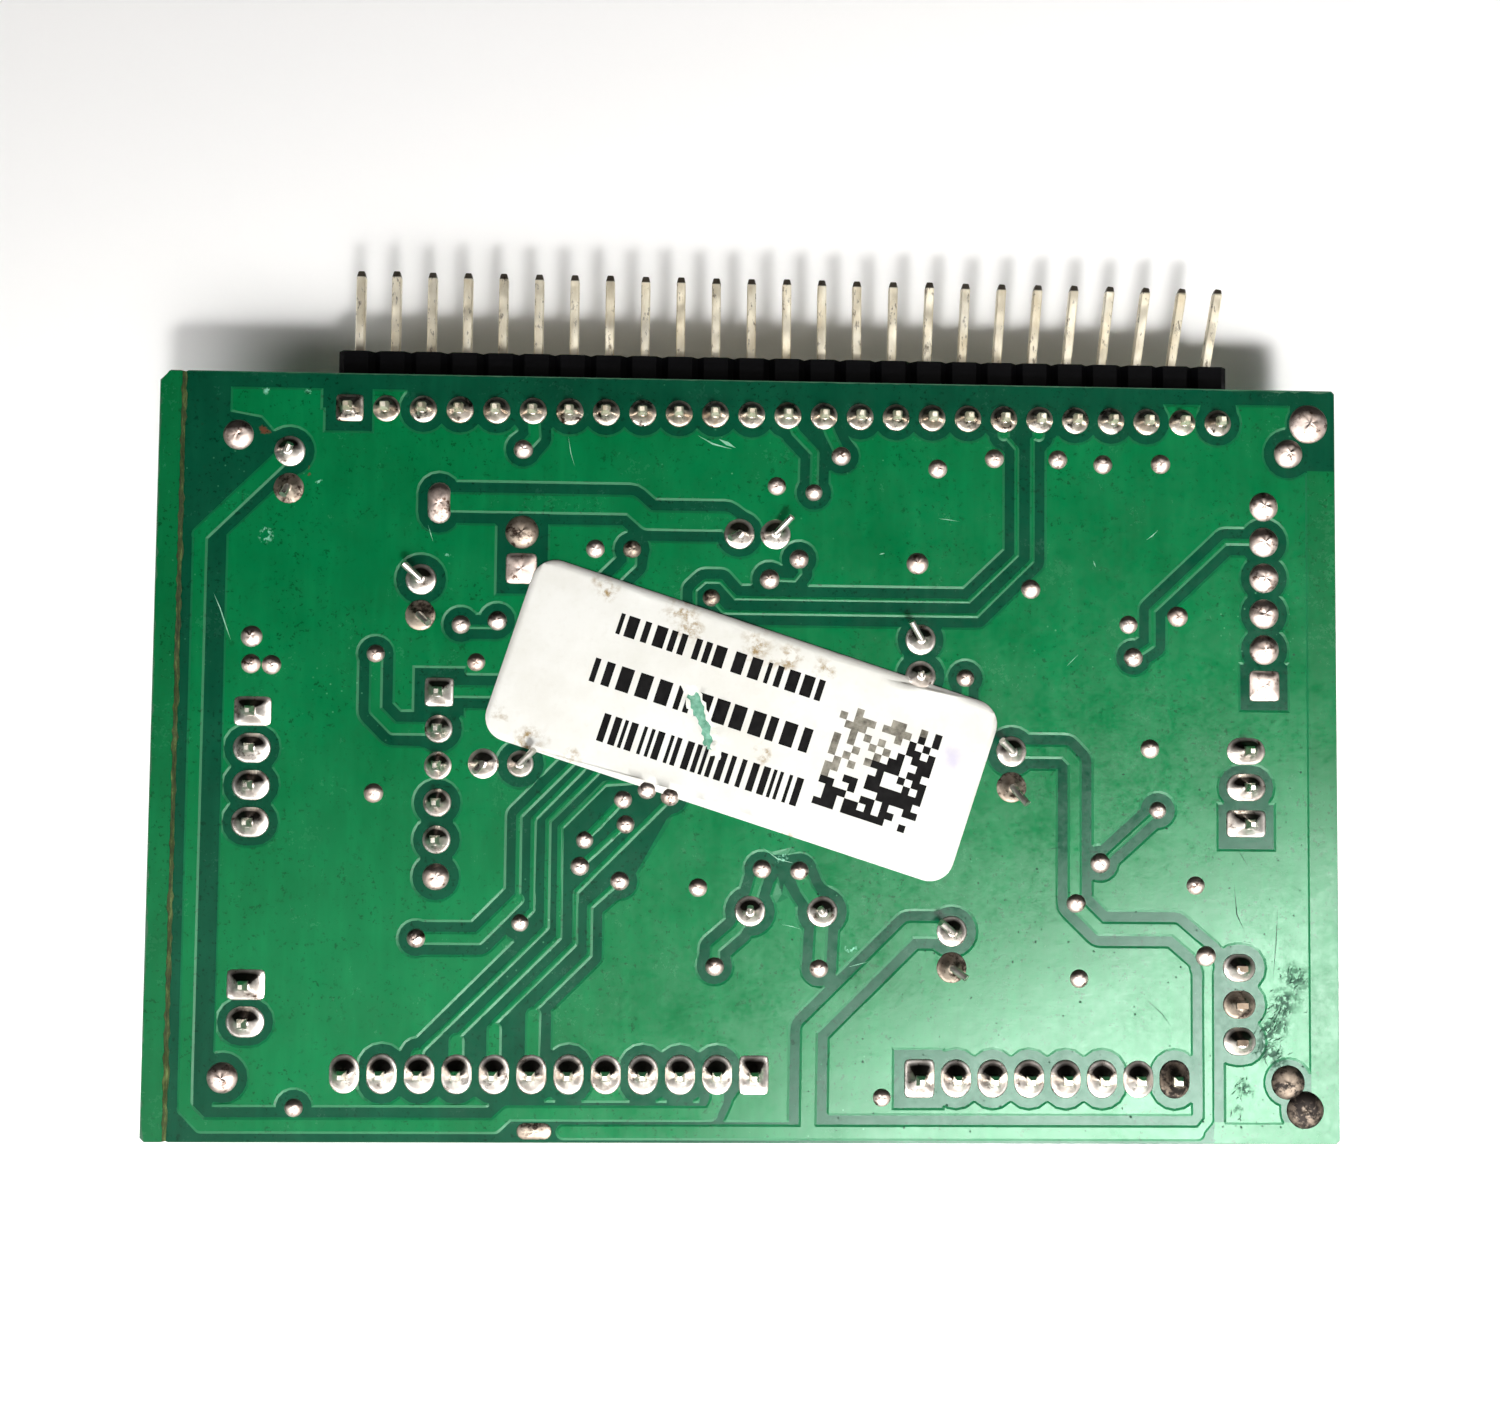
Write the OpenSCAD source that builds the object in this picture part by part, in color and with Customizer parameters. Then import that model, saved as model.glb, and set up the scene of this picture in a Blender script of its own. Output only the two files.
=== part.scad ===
// Servo driver board of a robot arm or walking-robot kit, lying solder side up.
// A two-layer circuit board with a 25-way right-angle pin header along its rear edge, six
// shrouded wafer connectors, a microcontroller with its crystal, drivers, capacitors, a slide
// switch, the solder joints of every lead, and a paper label across the solder side.
// +X runs along the pin header, +Y points the way the header's pins point, +Z comes out of
// the solder side. The board lies on the rims of its tallest connectors, at z = 0.

/* [Board] */
// Width of the board, along the pin header
board_w = 82.4; // [82:0.1:90]
// Depth of the board, from the rear edge to the front edge
board_d = 52.9; // [52.6:0.1:56]
// Thickness of the laminate
board_t = 1.6; // [1.2:0.1:2]
// Distance of the V-score groove from the left edge
score_x = 1.65; // [1.2:0.05:1.9]
// Depth of the V-score groove on each side
score_depth = 0.35; // [0.2:0.05:0.45]
// Chamfer at the rear left corner
corner_cut = 0.7; // [0.3:0.1:1.2]
// Drill for connector and header pins
pin_drill = 1.0; // [1:0.02:1.1]
// Drill for the wire leads of the capacitors and the crystal
lead_drill = 0.8; // [0.7:0.02:0.9]

/* [Pin header] */
// Number of pins in the rear header
header_n = 25; // [20:1:25]
// Pitch of the header and of every wafer connector
pitch = 2.54; // [2.5:0.01:2.54]
// Side of the square pins
pin_s = 0.64; // [0.5:0.01:0.66]
// Length of pin in front of the plastic strip
pin_out = 6.1; // [4:0.05:8]
// First pin, counted from the left, that has been knocked out of line
lean_from = 16; // [12:1:26]
// Lean of the last pin, to the right
lean_max = 9.5; // [0:0.5:10]

/* [Wafer connectors] */
// Height of the tall wafers above the board; the board lies on their rims
wafer_h = 7; // [6.5:0.1:9]
// Depth of the tall wafers, across the pin row
wafer_d = 5.75; // [5.4:0.05:5.8]
// Wall of the wafers
wafer_wall = 0.8; // [0.6:0.05:1]
// Thickness of the wafer's floor
wafer_floor = 1.8; // [1.2:0.1:2.4]
// Height of the low five-way wafer
low_h = 6; // [5:0.1:6.4]
// Pin length that stands out of the solder side
pin_tail = 1.5; // [1.1:0.05:1.8]

/* [Solder joints] */
// Height of a header joint's cone
cone_h = 1.1; // [0.8:0.05:1.2]
// Height of a wire lead's joint
joint_h = 0.85; // [0.6:0.05:1]
// Height of the solder in a pad with no lead
fill_h = 0.4; // [0.25:0.05:0.5]
// Height of the solder on a via
via_h = 0.35; // [0.2:0.05:0.45]

/* [Label] */
// Length of the paper label
label_l = 34; // [30:0.5:36]
// Width of the paper label
label_w = 13.1; // [10:0.1:13.5]
// Thickness of the paper label
label_t = 0.12; // [0.08:0.02:0.2]
// Turn of the label, clockwise
label_turn = 17.8; // [15:0.1:20]

/* [Slide switch] */
// Travel of the switch's knob
switch_travel = 2; // [1.5:0.1:2.2]
// Height of the switch's case
switch_h = 3.5; // [3.2:0.1:4]
// Height of the knob above the case
knob_h = 2; // [1.5:0.1:2.8]

/* [Hidden] */
$fn = 28;
eps = 0.01;

// Heights: the component side looks down, the solder side up.
zc = lift();
zs = zc + board_t;
function lift() = wafer_h;

// Header row, pin 1 on the left.
header_x = -28.15;
header_y = 24;
strip_back = 1.95;
strip_s = 2.54;
pin_drop = 1.27;
// Taper and half-width of the free ends, and of the legs' ends above the solder
tip_taper = 0.45;
tip_half = 0.2;
leg_taper = 0.35;
leg_tip = 0.17;
tip_y = header_y + strip_back + strip_s + pin_out;

// The frame's origin is at the middle of the whole object in plan, on the floor.
mid_y = (tip_y - board_d/2)/2;
module placed() { translate([0, -mid_y, 0]) children(); }

// Pin rows of the wafers: [first x, first y, count, step direction]
row12 = [-27.55, -21.8, 12, [1, 0]];
row8 = [11.8, -22, 8, [1, 0]];
row4 = [-34.3, 2.85, 4, [0, -1]];
row2 = [-34.3, -15.8, 2, [0, -1]];
row3 = [34.7, 0.8, 3, [0, -1]];
row5 = [-21.6, 4.3, 5, [0, -1]];
// The unfitted six-way row near the right edge, and the sixth hole of the low wafer's row.
row6 = [36.05, 18.1, 6, [0, -1]];
spare5 = [-21.6, 4.3 - 5*pitch];
// The slide switch's three blades.
rowS = [34.15, -14.3, 3, [0, -1]];

function at(row, i) = [row[0] + row[3][0]*pitch*i, row[1] + row[3][1]*pitch*i];
function mid(row) = (at(row, 0) + at(row, row[2] - 1))/2;

// Two-lead parts: [x1, y1, x2, y2]
cap_a = [-32.2, 20.9, -32.2, 18.3];
cap_b = [-23, 12.1, -23, 9.6];
cap_f = [18.15, 0.6, 18.15, -1.9];
cap_g = [14, -11.9, 14, -14.4];
cer_d = [-1, 15.6, 1.55, 15.6];
cer_e = [11.75, 8.35, 11.75, 5.8];
cer_h = [-18.5, -0.6, -15.95, -0.6];
xtal = [0, -10.6, 5, -10.6];
jumper = [-16.1, 15.5, -16.1, 12.95];
function p1(c) = [c[0], c[1]];
function p2(c) = [c[2], c[3]];
function pm(c) = [(c[0] + c[2])/2, (c[1] + c[3])/2];

// Wire leads with clinched ends: [x, y, direction of the bent end, length of the bent end]
LEADS = [
    [cap_a[0], cap_a[1], 60, 0.5], [cap_a[2], cap_a[3], -110, 0.7],
    [cap_b[0], cap_b[1], 137, 1.6], [cap_b[2], cap_b[3], -40, 1.1],
    [cap_f[0], cap_f[1], 140, 1.3], [cap_f[2], cap_f[3], -52, 1.6],
    [cap_g[0], cap_g[1], 142, 1.3], [cap_g[2], cap_g[3], -35, 1.2],
    [cer_d[0], cer_d[1], -145, 0.9], [cer_d[2], cer_d[3], 45, 1.7],
    [cer_e[0], cer_e[1], 125, 1.6], [cer_e[2], cer_e[3], 100, 0.3],
    [cer_h[0], cer_h[1], -130, 0.9], [cer_h[2], cer_h[3], 42, 1.6],
    [xtal[0], xtal[1], 90, 0.4], [xtal[2], xtal[3], 120, 0.4]];

// Solder-filled holes with no lead in them: [x, y, diameter]
EMPTY = concat([for (i = [0:4]) concat(at(row6, i), [2.1])],
    [[spare5[0], spare5[1], 1.85], [jumper[0], jumper[1], 2.3],
     [-35.75, 22, 2.1], [-35.75, -22.1, 2.1], [37.85, 21.9, 2.05], [37.55, -22.2, 2.1],
     [39.3, 24.05, 2.75], [38.75, -24.1, 2.6]]);
EMPTY_SQUARE = [at(row6, 5), p2(jumper)];

// Solder domes on vias: [x, y, diameter]
VIAS = [[-34.5, 8, 1.55], [-34.5, 6.1, 1.4], [-33.1, 6.05, 1.4], [-26, 6.9, 1.25],
    [-20.2, 9, 1.3], [-17.7, 9.3, 1.35], [-19.1, 6.4, 1.3], [-16.1, 21.3, 1.35],
    [-11, 14.4, 1.35], [-8.45, 14.4, 1.25], [-2.9, 11.1, 1.2], [-21.85, 18.1, 1.6],
    [-21.85, 16.8, 1.6], [1.6, 19, 1.35], [4.2, 18.6, 1.2], [6.1, 21.2, 1.35],
    [12.9, 20.4, 1.4], [16.9, 21.2, 1.4], [3.2, 13.9, 1.35], [1.15, 12.45, 1.4],
    [11.5, 13.7, 1.6], [19.5, 12, 1.4], [14.9, 5.7, 1.25], [21.4, 21.2, 1.4],
    [24.6, 20.9, 1.4], [28.7, 21, 1.45], [26.4, 9.6, 1.35], [29.9, 10.2, 1.5],
    [26.75, 7.3, 1.35], [-25.95, -2.7, 1.4], [-8.85, -3, 1.25], [-8.65, -4.7, 1.25],
    [-11.45, -5.8, 1.2], [-11.75, -7.6, 1.3], [-9, -8.6, 1.3], [-3.6, -9, 1.35],
    [0.8, -7.7, 1.3], [3.4, -7.8, 1.3], [27.9, 0.9, 1.4], [28.45, -3.4, 1.2],
    [24.4, -7.1, 1.4], [31.1, -8.6, 1.35], [22.7, -9.9, 1.35], [-22.85, -12.6, 1.3],
    [-30.9, -24.1, 1.25], [-15.8, -11.5, 1.2], [-2.4, -14.4, 1.3], [4.8, -14.5, 1.3],
    [9.2, -23.3, 1.3], [22.9, -15.1, 1.35], [31.8, -13.5, 1.45]];
// Two vias whose domes are half under the label's lower edge.
VIAS_EDGE = [[-7.2, -2.3, 1.3], [-5.6, -2.75, 1.3]];
// The bare solder patch at the front edge: centre, length, width
patch = [-14.6, -25.65, 2.4, 1.1];

label_c = [-0.64, 2.56];

// ---------------------------------------------------------------- helpers
module component_side(x, y, turn = 0) {
    translate([x, y, zc]) mirror([0, 0, 1]) rotate([0, 0, turn]) children();
}
module solder_side(x, y, turn = 0) { translate([x, y, zs]) rotate([0, 0, turn]) children(); }

module box(x0, x1, y0, y1, z0, z1) {
    translate([x0, y0, z0]) cube([x1 - x0, y1 - y0, z1 - z0]);
}

// A plate outline with rounded corners, centred.
module rounded(l, w, r) {
    square([l - 2*r, w], center = true);
    square([l, w - 2*r], center = true);
    for (sx = [-1, 1], sy = [-1, 1])
        translate([sx*(l/2 - r), sy*(w/2 - r)]) circle(r);
}

// A square post from z0 to z1 with both ends tapered.
module post(s, z0, z1, taper = 0.5) {
    h = s/2;
    e = h*0.45;
    prof = [[-e, z0], [e, z0], [h, z0 + taper], [h, z1 - taper], [e, z1], [-e, z1],
        [-h, z1 - taper], [-h, z0 + taper]];
    intersection() {
        rotate([90, 0, 0]) linear_extrude(height = s + 0.2, center = true) polygon(prof);
        rotate([90, 0, 90]) linear_extrude(height = s + 0.2, center = true) polygon(prof);
    }
}

// Solder around a pin: a foot on the pad, a concave cone, and the plug that fills the hole.
module joint(r, h, top, drill) {
    rotate_extrude() polygon([[0, -board_t], [drill/2 - eps, -board_t], [drill/2 - eps, 0],
        [r, 0], [r*0.97, 0.1], [r*0.78, 0.22*h], [r*0.56, 0.52*h],
        [top*1.25, 0.86*h], [top, h], [0, h]]);
}

// A rounded solder cap of radius r and height h.
module cap(r, h, plug = 0) {
    rotate_extrude() polygon(concat([[0, 0], [r, 0]],
        [for (a = [18:18:90]) [r*cos(a), h*sin(a)]]));
    if (plug > 0) translate([0, 0, -board_t]) cylinder(h = board_t + 0.05, r = plug);
}

module stadium(l, w, h) {
    linear_extrude(height = h) {
        square([l - w, w], center = true);
        for (s = [-1, 1]) translate([s*(l - w)/2, 0]) circle(w/2);
    }
}

// A wire lead from the part through the board, its free end bent over.
module lead(d, from, dir, len, tilt = 62) {
    knee = board_t + 0.55;
    translate([0, 0, -board_t - from]) cylinder(h = from + knee, d = d);
    translate([0, 0, knee - board_t]) sphere(d/2);
    translate([0, 0, knee - board_t]) rotate([0, 0, dir]) rotate([0, tilt, 0])
        cylinder(h = len, d = d);
}

// ---------------------------------------------------------------- board
module groove(side) {
    d = score_depth;
    zz = side > 0 ? zs : zc;
    translate([-board_w/2 + score_x, board_d/2 + 1, zz]) rotate([90, 0, 0])
        linear_extrude(height = board_d + 2)
        polygon(side > 0 ? [[-0.27, 0.01], [0, -d], [0.27, 0.01]]
                         : [[-0.27, -0.01], [0.27, -0.01], [0, d]]);
}

module drill_at(p, d) { translate([p[0], p[1], zc - 1]) cylinder(h = board_t + 2, d = d); }

module board() {
    w = board_w/2;
    d = board_d/2;
    color("seagreen") difference() {
        translate([0, 0, zc]) linear_extrude(height = board_t)
            polygon([[-w, -d + 0.3], [-w + 0.3, -d], [w - 0.25, -d], [w, -d + 0.25], [w, d - 0.2],
                [w - 0.2, d], [-w + corner_cut, d], [-w, d - corner_cut]]);
        groove(1);
        groove(-1);
        for (i = [0:header_n - 1]) drill_at([header_x + pitch*i, header_y], pin_drill);
        for (row = [row12, row8, row4, row2, row3, row5, row6, rowS])
            for (i = [0:row[2] - 1]) drill_at(at(row, i), pin_drill);
        drill_at(spare5, pin_drill);
        for (p = LEADS) drill_at(p, lead_drill);
        for (p = [p1(jumper), p2(jumper)]) drill_at(p, pin_drill);
        for (p = [[-35.75, 22], [-35.75, -22.1], [37.85, 21.9], [37.55, -22.2]])
            drill_at(p, lead_drill);
    }
}

// ---------------------------------------------------------------- rear pin header
function lean(i) = i + 1 < lean_from ? 0 : lean_max*(i + 2 - lean_from)/(header_n + 1 - lean_from);

// Square pin along +y, from y = -back, that narrows over its last t to a tip of half-width e
module tapered_pin(length, back, t, e) {
    s = pin_s;
    side = [[-back, -s/2], [length - t, -s/2], [length, -e], [length, e], [length - t, s/2],
        [-back, s/2]];
    intersection() {
        linear_extrude(height = s + 1, center = true) polygon([for (p = side) [-p[1], p[0]]]);
        rotate([90, 0, 90]) linear_extrude(height = s + 1, center = true) polygon(side);
    }
}

module header_pin(i) {
    s = pin_s;
    x = header_x + pitch*i;
    zp = zc - pin_drop;
    yf = header_y + strip_back + strip_s;
    // leg through the board
    translate([x, header_y, zp]) rotate([90, 0, 0])
        tapered_pin(zs + pin_tail - 0.1 - zp, 0, leg_taper, leg_tip);
    // elbow
    translate([x, header_y, zp]) rotate([0, 90, 0]) cylinder(h = s, d = s, center = true);
    // run through the strip
    box(x - s/2, x + s/2, header_y, yf, zp - s/2, zp + s/2);
    // free length
    translate([x, yf, zp]) {
        if (lean(i) > 0) cylinder(h = s, d = s, center = true);
        rotate([0, 0, -lean(i)]) tapered_pin(pin_out, lean(i) > 0 ? 0 : eps, tip_taper, tip_half);
    }
}

module header_pins() {
    color("gold") for (i = [0:header_n - 1]) header_pin(i);
}

module header_strip() {
    h = strip_s/2;
    c = 0.42;
    y0 = header_y + strip_back;
    color("dimgray") difference() {
        for (i = [0:header_n - 1])
            translate([header_x + pitch*i, y0 + strip_s, zc - h]) rotate([90, 0, 0])
                linear_extrude(height = strip_s)
                polygon([[-pitch/2, -h + c], [-pitch/2 + c, -h], [pitch/2 - c, -h],
                    [pitch/2, -h + c], [pitch/2, h - c], [pitch/2 - c, h], [-pitch/2 + c, h],
                    [-pitch/2, h - c]]);
        for (i = [0:header_n - 1])
            box(header_x + pitch*i - pin_s/2 - eps, header_x + pitch*i + pin_s/2 + eps,
                y0 - 1, y0 + strip_s + 1, zc - pin_drop - pin_s/2 - eps,
                zc - pin_drop + pin_s/2 + eps);
    }
}

// ---------------------------------------------------------------- wafer connectors
// Local frame: pins along x, z away from the board, the slotted wall towards +y.
module wafer_shell(n, h, depth, front, wall, end) {
    l = pitch*(n - 1) + 2*end;
    back = depth - front;
    difference() {
        box(-l/2, l/2, -back, front, 0, h);
        box(-l/2 + wall, l/2 - wall, -back + wall, front - wall, wafer_floor, h + 1);
        // polarising slots in the front wall
        for (s = [-1, 1]) translate([s*(l/2 - 2.6), 0, 0])
            box(-0.7, 0.7, front - wall - 0.5, front + 1, wafer_floor, h + 1);
        // relief in both end walls
        for (s = [-1, 1]) translate([s*l/2, 0, 0])
            box(-wall - 0.5, wall + 0.5, -0.5, 0.5, h - 2.2, h + 1);
        // standing feet: the underside is cleared between the ends
        box(-l/2 + 1.4, l/2 - 1.4, -back - 1, front + 1, -1, 0.3);
        for (i = [0:n - 1]) translate([pitch*(i - (n - 1)/2), 0, 0])
            box(-pin_s/2 - eps, pin_s/2 + eps, -pin_s/2 - eps, pin_s/2 + eps, -1, h);
    }
}

module wafer_pins(n, h) {
    for (i = [0:n - 1]) translate([pitch*(i - (n - 1)/2), 0, 0])
        post(pin_s, -board_t - pin_tail, h - 0.9);
}

module tall_shell(row, turn) {
    m = mid(row);
    color("ivory") component_side(m[0], m[1], turn)
        wafer_shell(row[2], wafer_h, wafer_d, 2.35, wafer_wall, 2.45);
}
module tall_pins(row, turn) {
    m = mid(row);
    color("silver") component_side(m[0], m[1], turn) wafer_pins(row[2], wafer_h);
}

module wafer12_shell() tall_shell(row12, 0);
module wafer12_pins() tall_pins(row12, 0);
module wafer8_shell() tall_shell(row8, 0);
module wafer8_pins() tall_pins(row8, 0);
module wafer4_shell() tall_shell(row4, -90);
module wafer4_pins() tall_pins(row4, -90);
module wafer2_shell() tall_shell(row2, -90);
module wafer2_pins() tall_pins(row2, -90);
module wafer3_shell() tall_shell(row3, 90);
module wafer3_pins() tall_pins(row3, 90);
module wafer5_shell() {
    m = mid(row5);
    color("white") component_side(m[0], m[1], -90)
        wafer_shell(5, low_h, 3.8, 1.6, 0.6, 2);
}
module wafer5_pins() {
    m = mid(row5);
    color("silver") component_side(m[0], m[1], -90) wafer_pins(5, low_h);
}

// ---------------------------------------------------------------- crystal
module crystal_shape(l, w, z0, z1) {
    translate([0, 0, z0]) stadium(l, w, z1 - z0);
}
module crystal_can() {
    m = pm(xtal);
    color("silver") component_side(m[0], m[1]) crystal_shape(10.4, 4.1, 0.75, 3.5);
}
module crystal_base() {
    m = pm(xtal);
    color("lightgray") component_side(m[0], m[1]) difference() {
        crystal_shape(11.2, 4.8, 0.3, 0.75);
        for (s = [-1, 1]) translate([s*2.5, 0, -1]) cylinder(h = 3, d = 0.46 + 2*eps);
    }
}
module wire(k, d, from) {
    p = LEADS[k];
    solder_side(p[0], p[1]) lead(d, from, p[2], p[3]);
}
module crystal_leads() {
    color("silver") for (k = [14, 15]) wire(k, 0.46, 0.75);
}

// ---------------------------------------------------------------- radial capacitors
// [part, diameter, height]
CANS = [[cap_a, 6.3, 5.4], [cap_b, 5, 5.2], [cap_f, 6.3, 5.4], [cap_g, 6.3, 5.4]];

module capacitor_cans() {
    color("lightgray") for (c = CANS) component_side(pm(c[0])[0], pm(c[0])[1])
        difference() {
            translate([0, 0, 0.9]) cylinder(h = c[2] - 0.9, d = c[1] - 0.4);
            // vent cross in the top of the can
            for (a = [45, 135]) rotate([0, 0, a])
                translate([0, 0, c[2]]) cube([c[1] - 2, 0.25, 0.2], center = true);
        }
}
module capacitor_sleeves() {
    color("midnightblue") for (c = CANS) component_side(pm(c[0])[0], pm(c[0])[1])
        translate([0, 0, 0.35]) difference() {
            cylinder(h = c[2] - 0.45, d = c[1]);
            translate([0, 0, -1]) cylinder(h = c[2] + 2, d = c[1] - 0.4 + 2*eps);
        }
}
module capacitor_bungs() {
    color("black") for (c = CANS) component_side(pm(c[0])[0], pm(c[0])[1])
        difference() {
            translate([0, 0, 0.35]) cylinder(h = 0.55 - eps, d = c[1] - 0.4);
            d = p1(c[0]) - p2(c[0]);
            for (s = [-1, 1]) translate([s*d[0]/2, s*d[1]/2, 0])
                cylinder(h = 3, d = 0.52);
        }
}
module capacitor_leads() {
    color("silver") for (k = [0:7]) wire(k, 0.5, 0.85);
}

// ---------------------------------------------------------------- dipped ceramic capacitors
CERAMICS = [[cer_d, 0], [cer_e, 90], [cer_h, 0]];

module ceramic_bodies() {
    color("orange") for (c = CERAMICS) component_side(pm(c[0])[0], pm(c[0])[1], c[1])
        difference() {
            translate([0, 0, 1]) union() {
                translate([0, 0, 1.9]) rotate([90, 0, 0])
                    cylinder(h = 2, r = 1.9, center = true);
                // the dip runs down each lead
                for (s = [-1, 1]) translate([s*1.27, 0, 0]) cylinder(h = 1.6, d = 1);
            }
            for (s = [-1, 1]) translate([s*1.27, 0, -1]) cylinder(h = 3.2, d = 0.48);
        }
}
module ceramic_leads() {
    color("silver") for (k = [8:13]) wire(k, 0.46, 2.1);
}

// ---------------------------------------------------------------- surface-mounted parts
// One gull-wing lead: foot on the board at y = out, shoulder at the body's side y = 0.
module gull(w, z, t, out) {
    box(-w/2, w/2, -0.25, 0.3, z - t, z);
    box(-w/2, w/2, 0.3 - t, 0.3, 0, z);
    box(-w/2, w/2, 0.3 - t, out, 0, t);
}

controller = [1.4, 0.6];
controller_s = 10;
module controller_body() {
    s = controller_s/2;
    color("black") component_side(controller[0], controller[1]) difference() {
        translate([0, 0, 0.12]) linear_extrude(height = 1.38)
            polygon([[-s, -s + 0.5], [-s + 0.5, -s], [s - 0.5, -s], [s, -s + 0.5], [s, s - 0.5],
                [s - 0.5, s], [-s + 0.5, s], [-s, s - 0.5]]);
        translate([-s + 1.3, s - 1.3, 1.4]) cylinder(h = 1, d = 1);
        for (a = [0:90:270]) rotate([0, 0, a]) for (i = [0:15])
            translate([0.5*(i - 7.5), s - 0.26, 0]) box(-0.12, 0.12, 0, 1, 0.64, 0.82);
    }
}
module controller_leads() {
    color("silver") component_side(controller[0], controller[1])
        for (a = [0:90:270]) rotate([0, 0, a]) for (i = [0:15])
            translate([0.5*(i - 7.5), controller_s/2, 0]) gull(0.22, 0.81, 0.15, 1);
}

// Drivers in 16-lead packages: [x, y, turn]
DRIVERS = [[24.4, 13.5, 90], [24.4, -3.5, 90], [-5.8, 19.3, 0]];
module driver_bodies() {
    color("black") for (p = DRIVERS) component_side(p[0], p[1], p[2]) difference() {
        box(-4.95, 4.95, -1.95, 1.95, 0.15, 1.65);
        translate([-4.2, -1.2, 1.55]) cylinder(h = 1, d = 0.8);
        for (s = [0, 180]) rotate([0, 0, s]) for (i = [0:7])
            translate([1.27*(i - 3.5), 1.95 - 0.26, 0]) box(-0.21, 0.21, 0, 1, 0.79, 1.01);
    }
}
module driver_leads() {
    color("silver") for (p = DRIVERS) component_side(p[0], p[1], p[2])
        for (s = [0, 180]) rotate([0, 0, s]) for (i = [0:7])
            translate([1.27*(i - 3.5), 1.95, 0]) gull(0.4, 1, 0.2, 1.05);
}

// Voltage regulator in a flat power package, tab towards the rear.
regulator = [-28, -12.6];
module regulator_body() {
    color("black") component_side(regulator[0], regulator[1])
        box(-3.3, 3.3, -3, 3.1, 0.52, 2.3);
}
module regulator_leads() {
    color("silver") component_side(regulator[0], regulator[1]) {
        box(-2.7, 2.7, -2.2, 4.3, 0, 0.5);
        for (x = [-2.29, 2.29]) translate([x, 0, 0]) {
            box(-0.38, 0.38, -4.2, -3.02, 0.9, 1.4);
            box(-0.38, 0.38, -4.2, -3.7, 0, 0.9);
            box(-0.38, 0.38, -5.2, -3.7, 0, 0.5);
        }
    }
}

// Moulded diodes: [x, y, turn]
DIODES = [[-29, 3, 90], [-29, -3.4, 90]];
module diode_bodies() {
    color("black") for (p = DIODES) component_side(p[0], p[1], p[2])
        box(-2.15, 2.15, -1.3, 1.3, 0.22, 2.1);
}
module diode_leads() {
    color("silver") for (p = DIODES) component_side(p[0], p[1], p[2])
        for (s = [-1, 1]) scale([s, 1, 1]) {
            box(1.3, 2.5, -0.75, 0.75, 0, 0.2);
            box(2.17, 2.5, -0.75, 0.75, 0.2, 1.1);
        }
}

// Chip parts 2.0 x 1.25 mm: [x, y, turn]
RESISTORS = concat(
    [for (i = [0:7]) [-12.4 + 2.54*i - 0.5, -16.6, 90]],
    [for (i = [0:5]) [7.2 + 2.54*i, 15.2 + (i > 2 ? 1.6 : 0), 90]],
    [[-30.5, 9.8, 0], [31.5, 13.2, 90], [31.5, 9.6, 90], [-13.6, 9.6, 0], [-13.6, 7.2, 0]]);
CHIP_CAPS = [[-7.2, -6.2, 0], [-7.2, 7.6, 0], [9.6, -7, 90], [9.6, 2.4, 90], [-4.6, -9.4, 90],
    [8.6, -13.6, 90], [19, 6.4, 0], [19, -8.6, 0], [-27.6, 16.2, 90], [-14, 19.2, 90],
    [29.6, -12.3, 0], [-33.9, -9.3, 0]];
LAMP = [-30.5, 12.4, 0];

module resistor_bodies() {
    color("black") for (p = RESISTORS) component_side(p[0], p[1], p[2])
        box(-0.7, 0.7, -0.625, 0.625, 0.04, 0.5);
}
module chip_capacitor_bodies() {
    color("tan") for (p = CHIP_CAPS) component_side(p[0], p[1], p[2])
        box(-0.6, 0.6, -0.6, 0.6, 0.04, 0.85);
}
module chip_ends() {
    color("silver") {
        for (p = RESISTORS) component_side(p[0], p[1], p[2]) for (s = [-1, 1])
            scale([s, 1, 1]) box(0.7, 1, -0.625, 0.625, 0, 0.54);
        for (p = CHIP_CAPS) component_side(p[0], p[1], p[2]) for (s = [-1, 1])
            scale([s, 1, 1]) box(0.6, 1, -0.625, 0.625, 0, 0.9);
        component_side(LAMP[0], LAMP[1], LAMP[2]) for (s = [-1, 1])
            scale([s, 1, 1]) box(0.65, 1, -0.625, 0.625, 0, 0.4);
    }
}
module lamp_body() {
    color("palegreen") component_side(LAMP[0], LAMP[1], LAMP[2]) {
        box(-0.65, 0.65, -0.625, 0.625, 0.02, 0.35);
        translate([0, 0, 0.35]) box(-0.6, 0.6, -0.55, 0.55, 0, 0.45);
    }
}

// ---------------------------------------------------------------- slide switch
// Local frame: travel along y, z away from the board; the knob rests at the -y end.
sw_w = 3.7;
sw_l = 8.6;
knob_w = 1.5;
gap = 0.12;
slider_l = 4.2;
module switch_case() {
    m = mid(rowS);
    slot = knob_w + switch_travel + 2*gap;
    cav = slider_l + switch_travel + 2*gap;
    color("silver") component_side(m[0], m[1]) difference() {
        box(-sw_w/2, sw_w/2, -sw_l/2, sw_l/2, 0, switch_h);
        // chamber in which the slider runs
        box(-1.3 - gap, 1.3 + gap, -cav/2, cav/2, 1.2, switch_h - 0.4);
        // slot for the knob
        box(-knob_w/2 - gap, knob_w/2 + gap, -slot/2, slot/2, 1, switch_h + 1);
        for (i = [-1, 0, 1]) translate([0, pitch*i, 0])
            box(-0.4 - eps, 0.4 + eps, -0.2 - eps, 0.2 + eps, -1, 1);
    }
}
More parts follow.
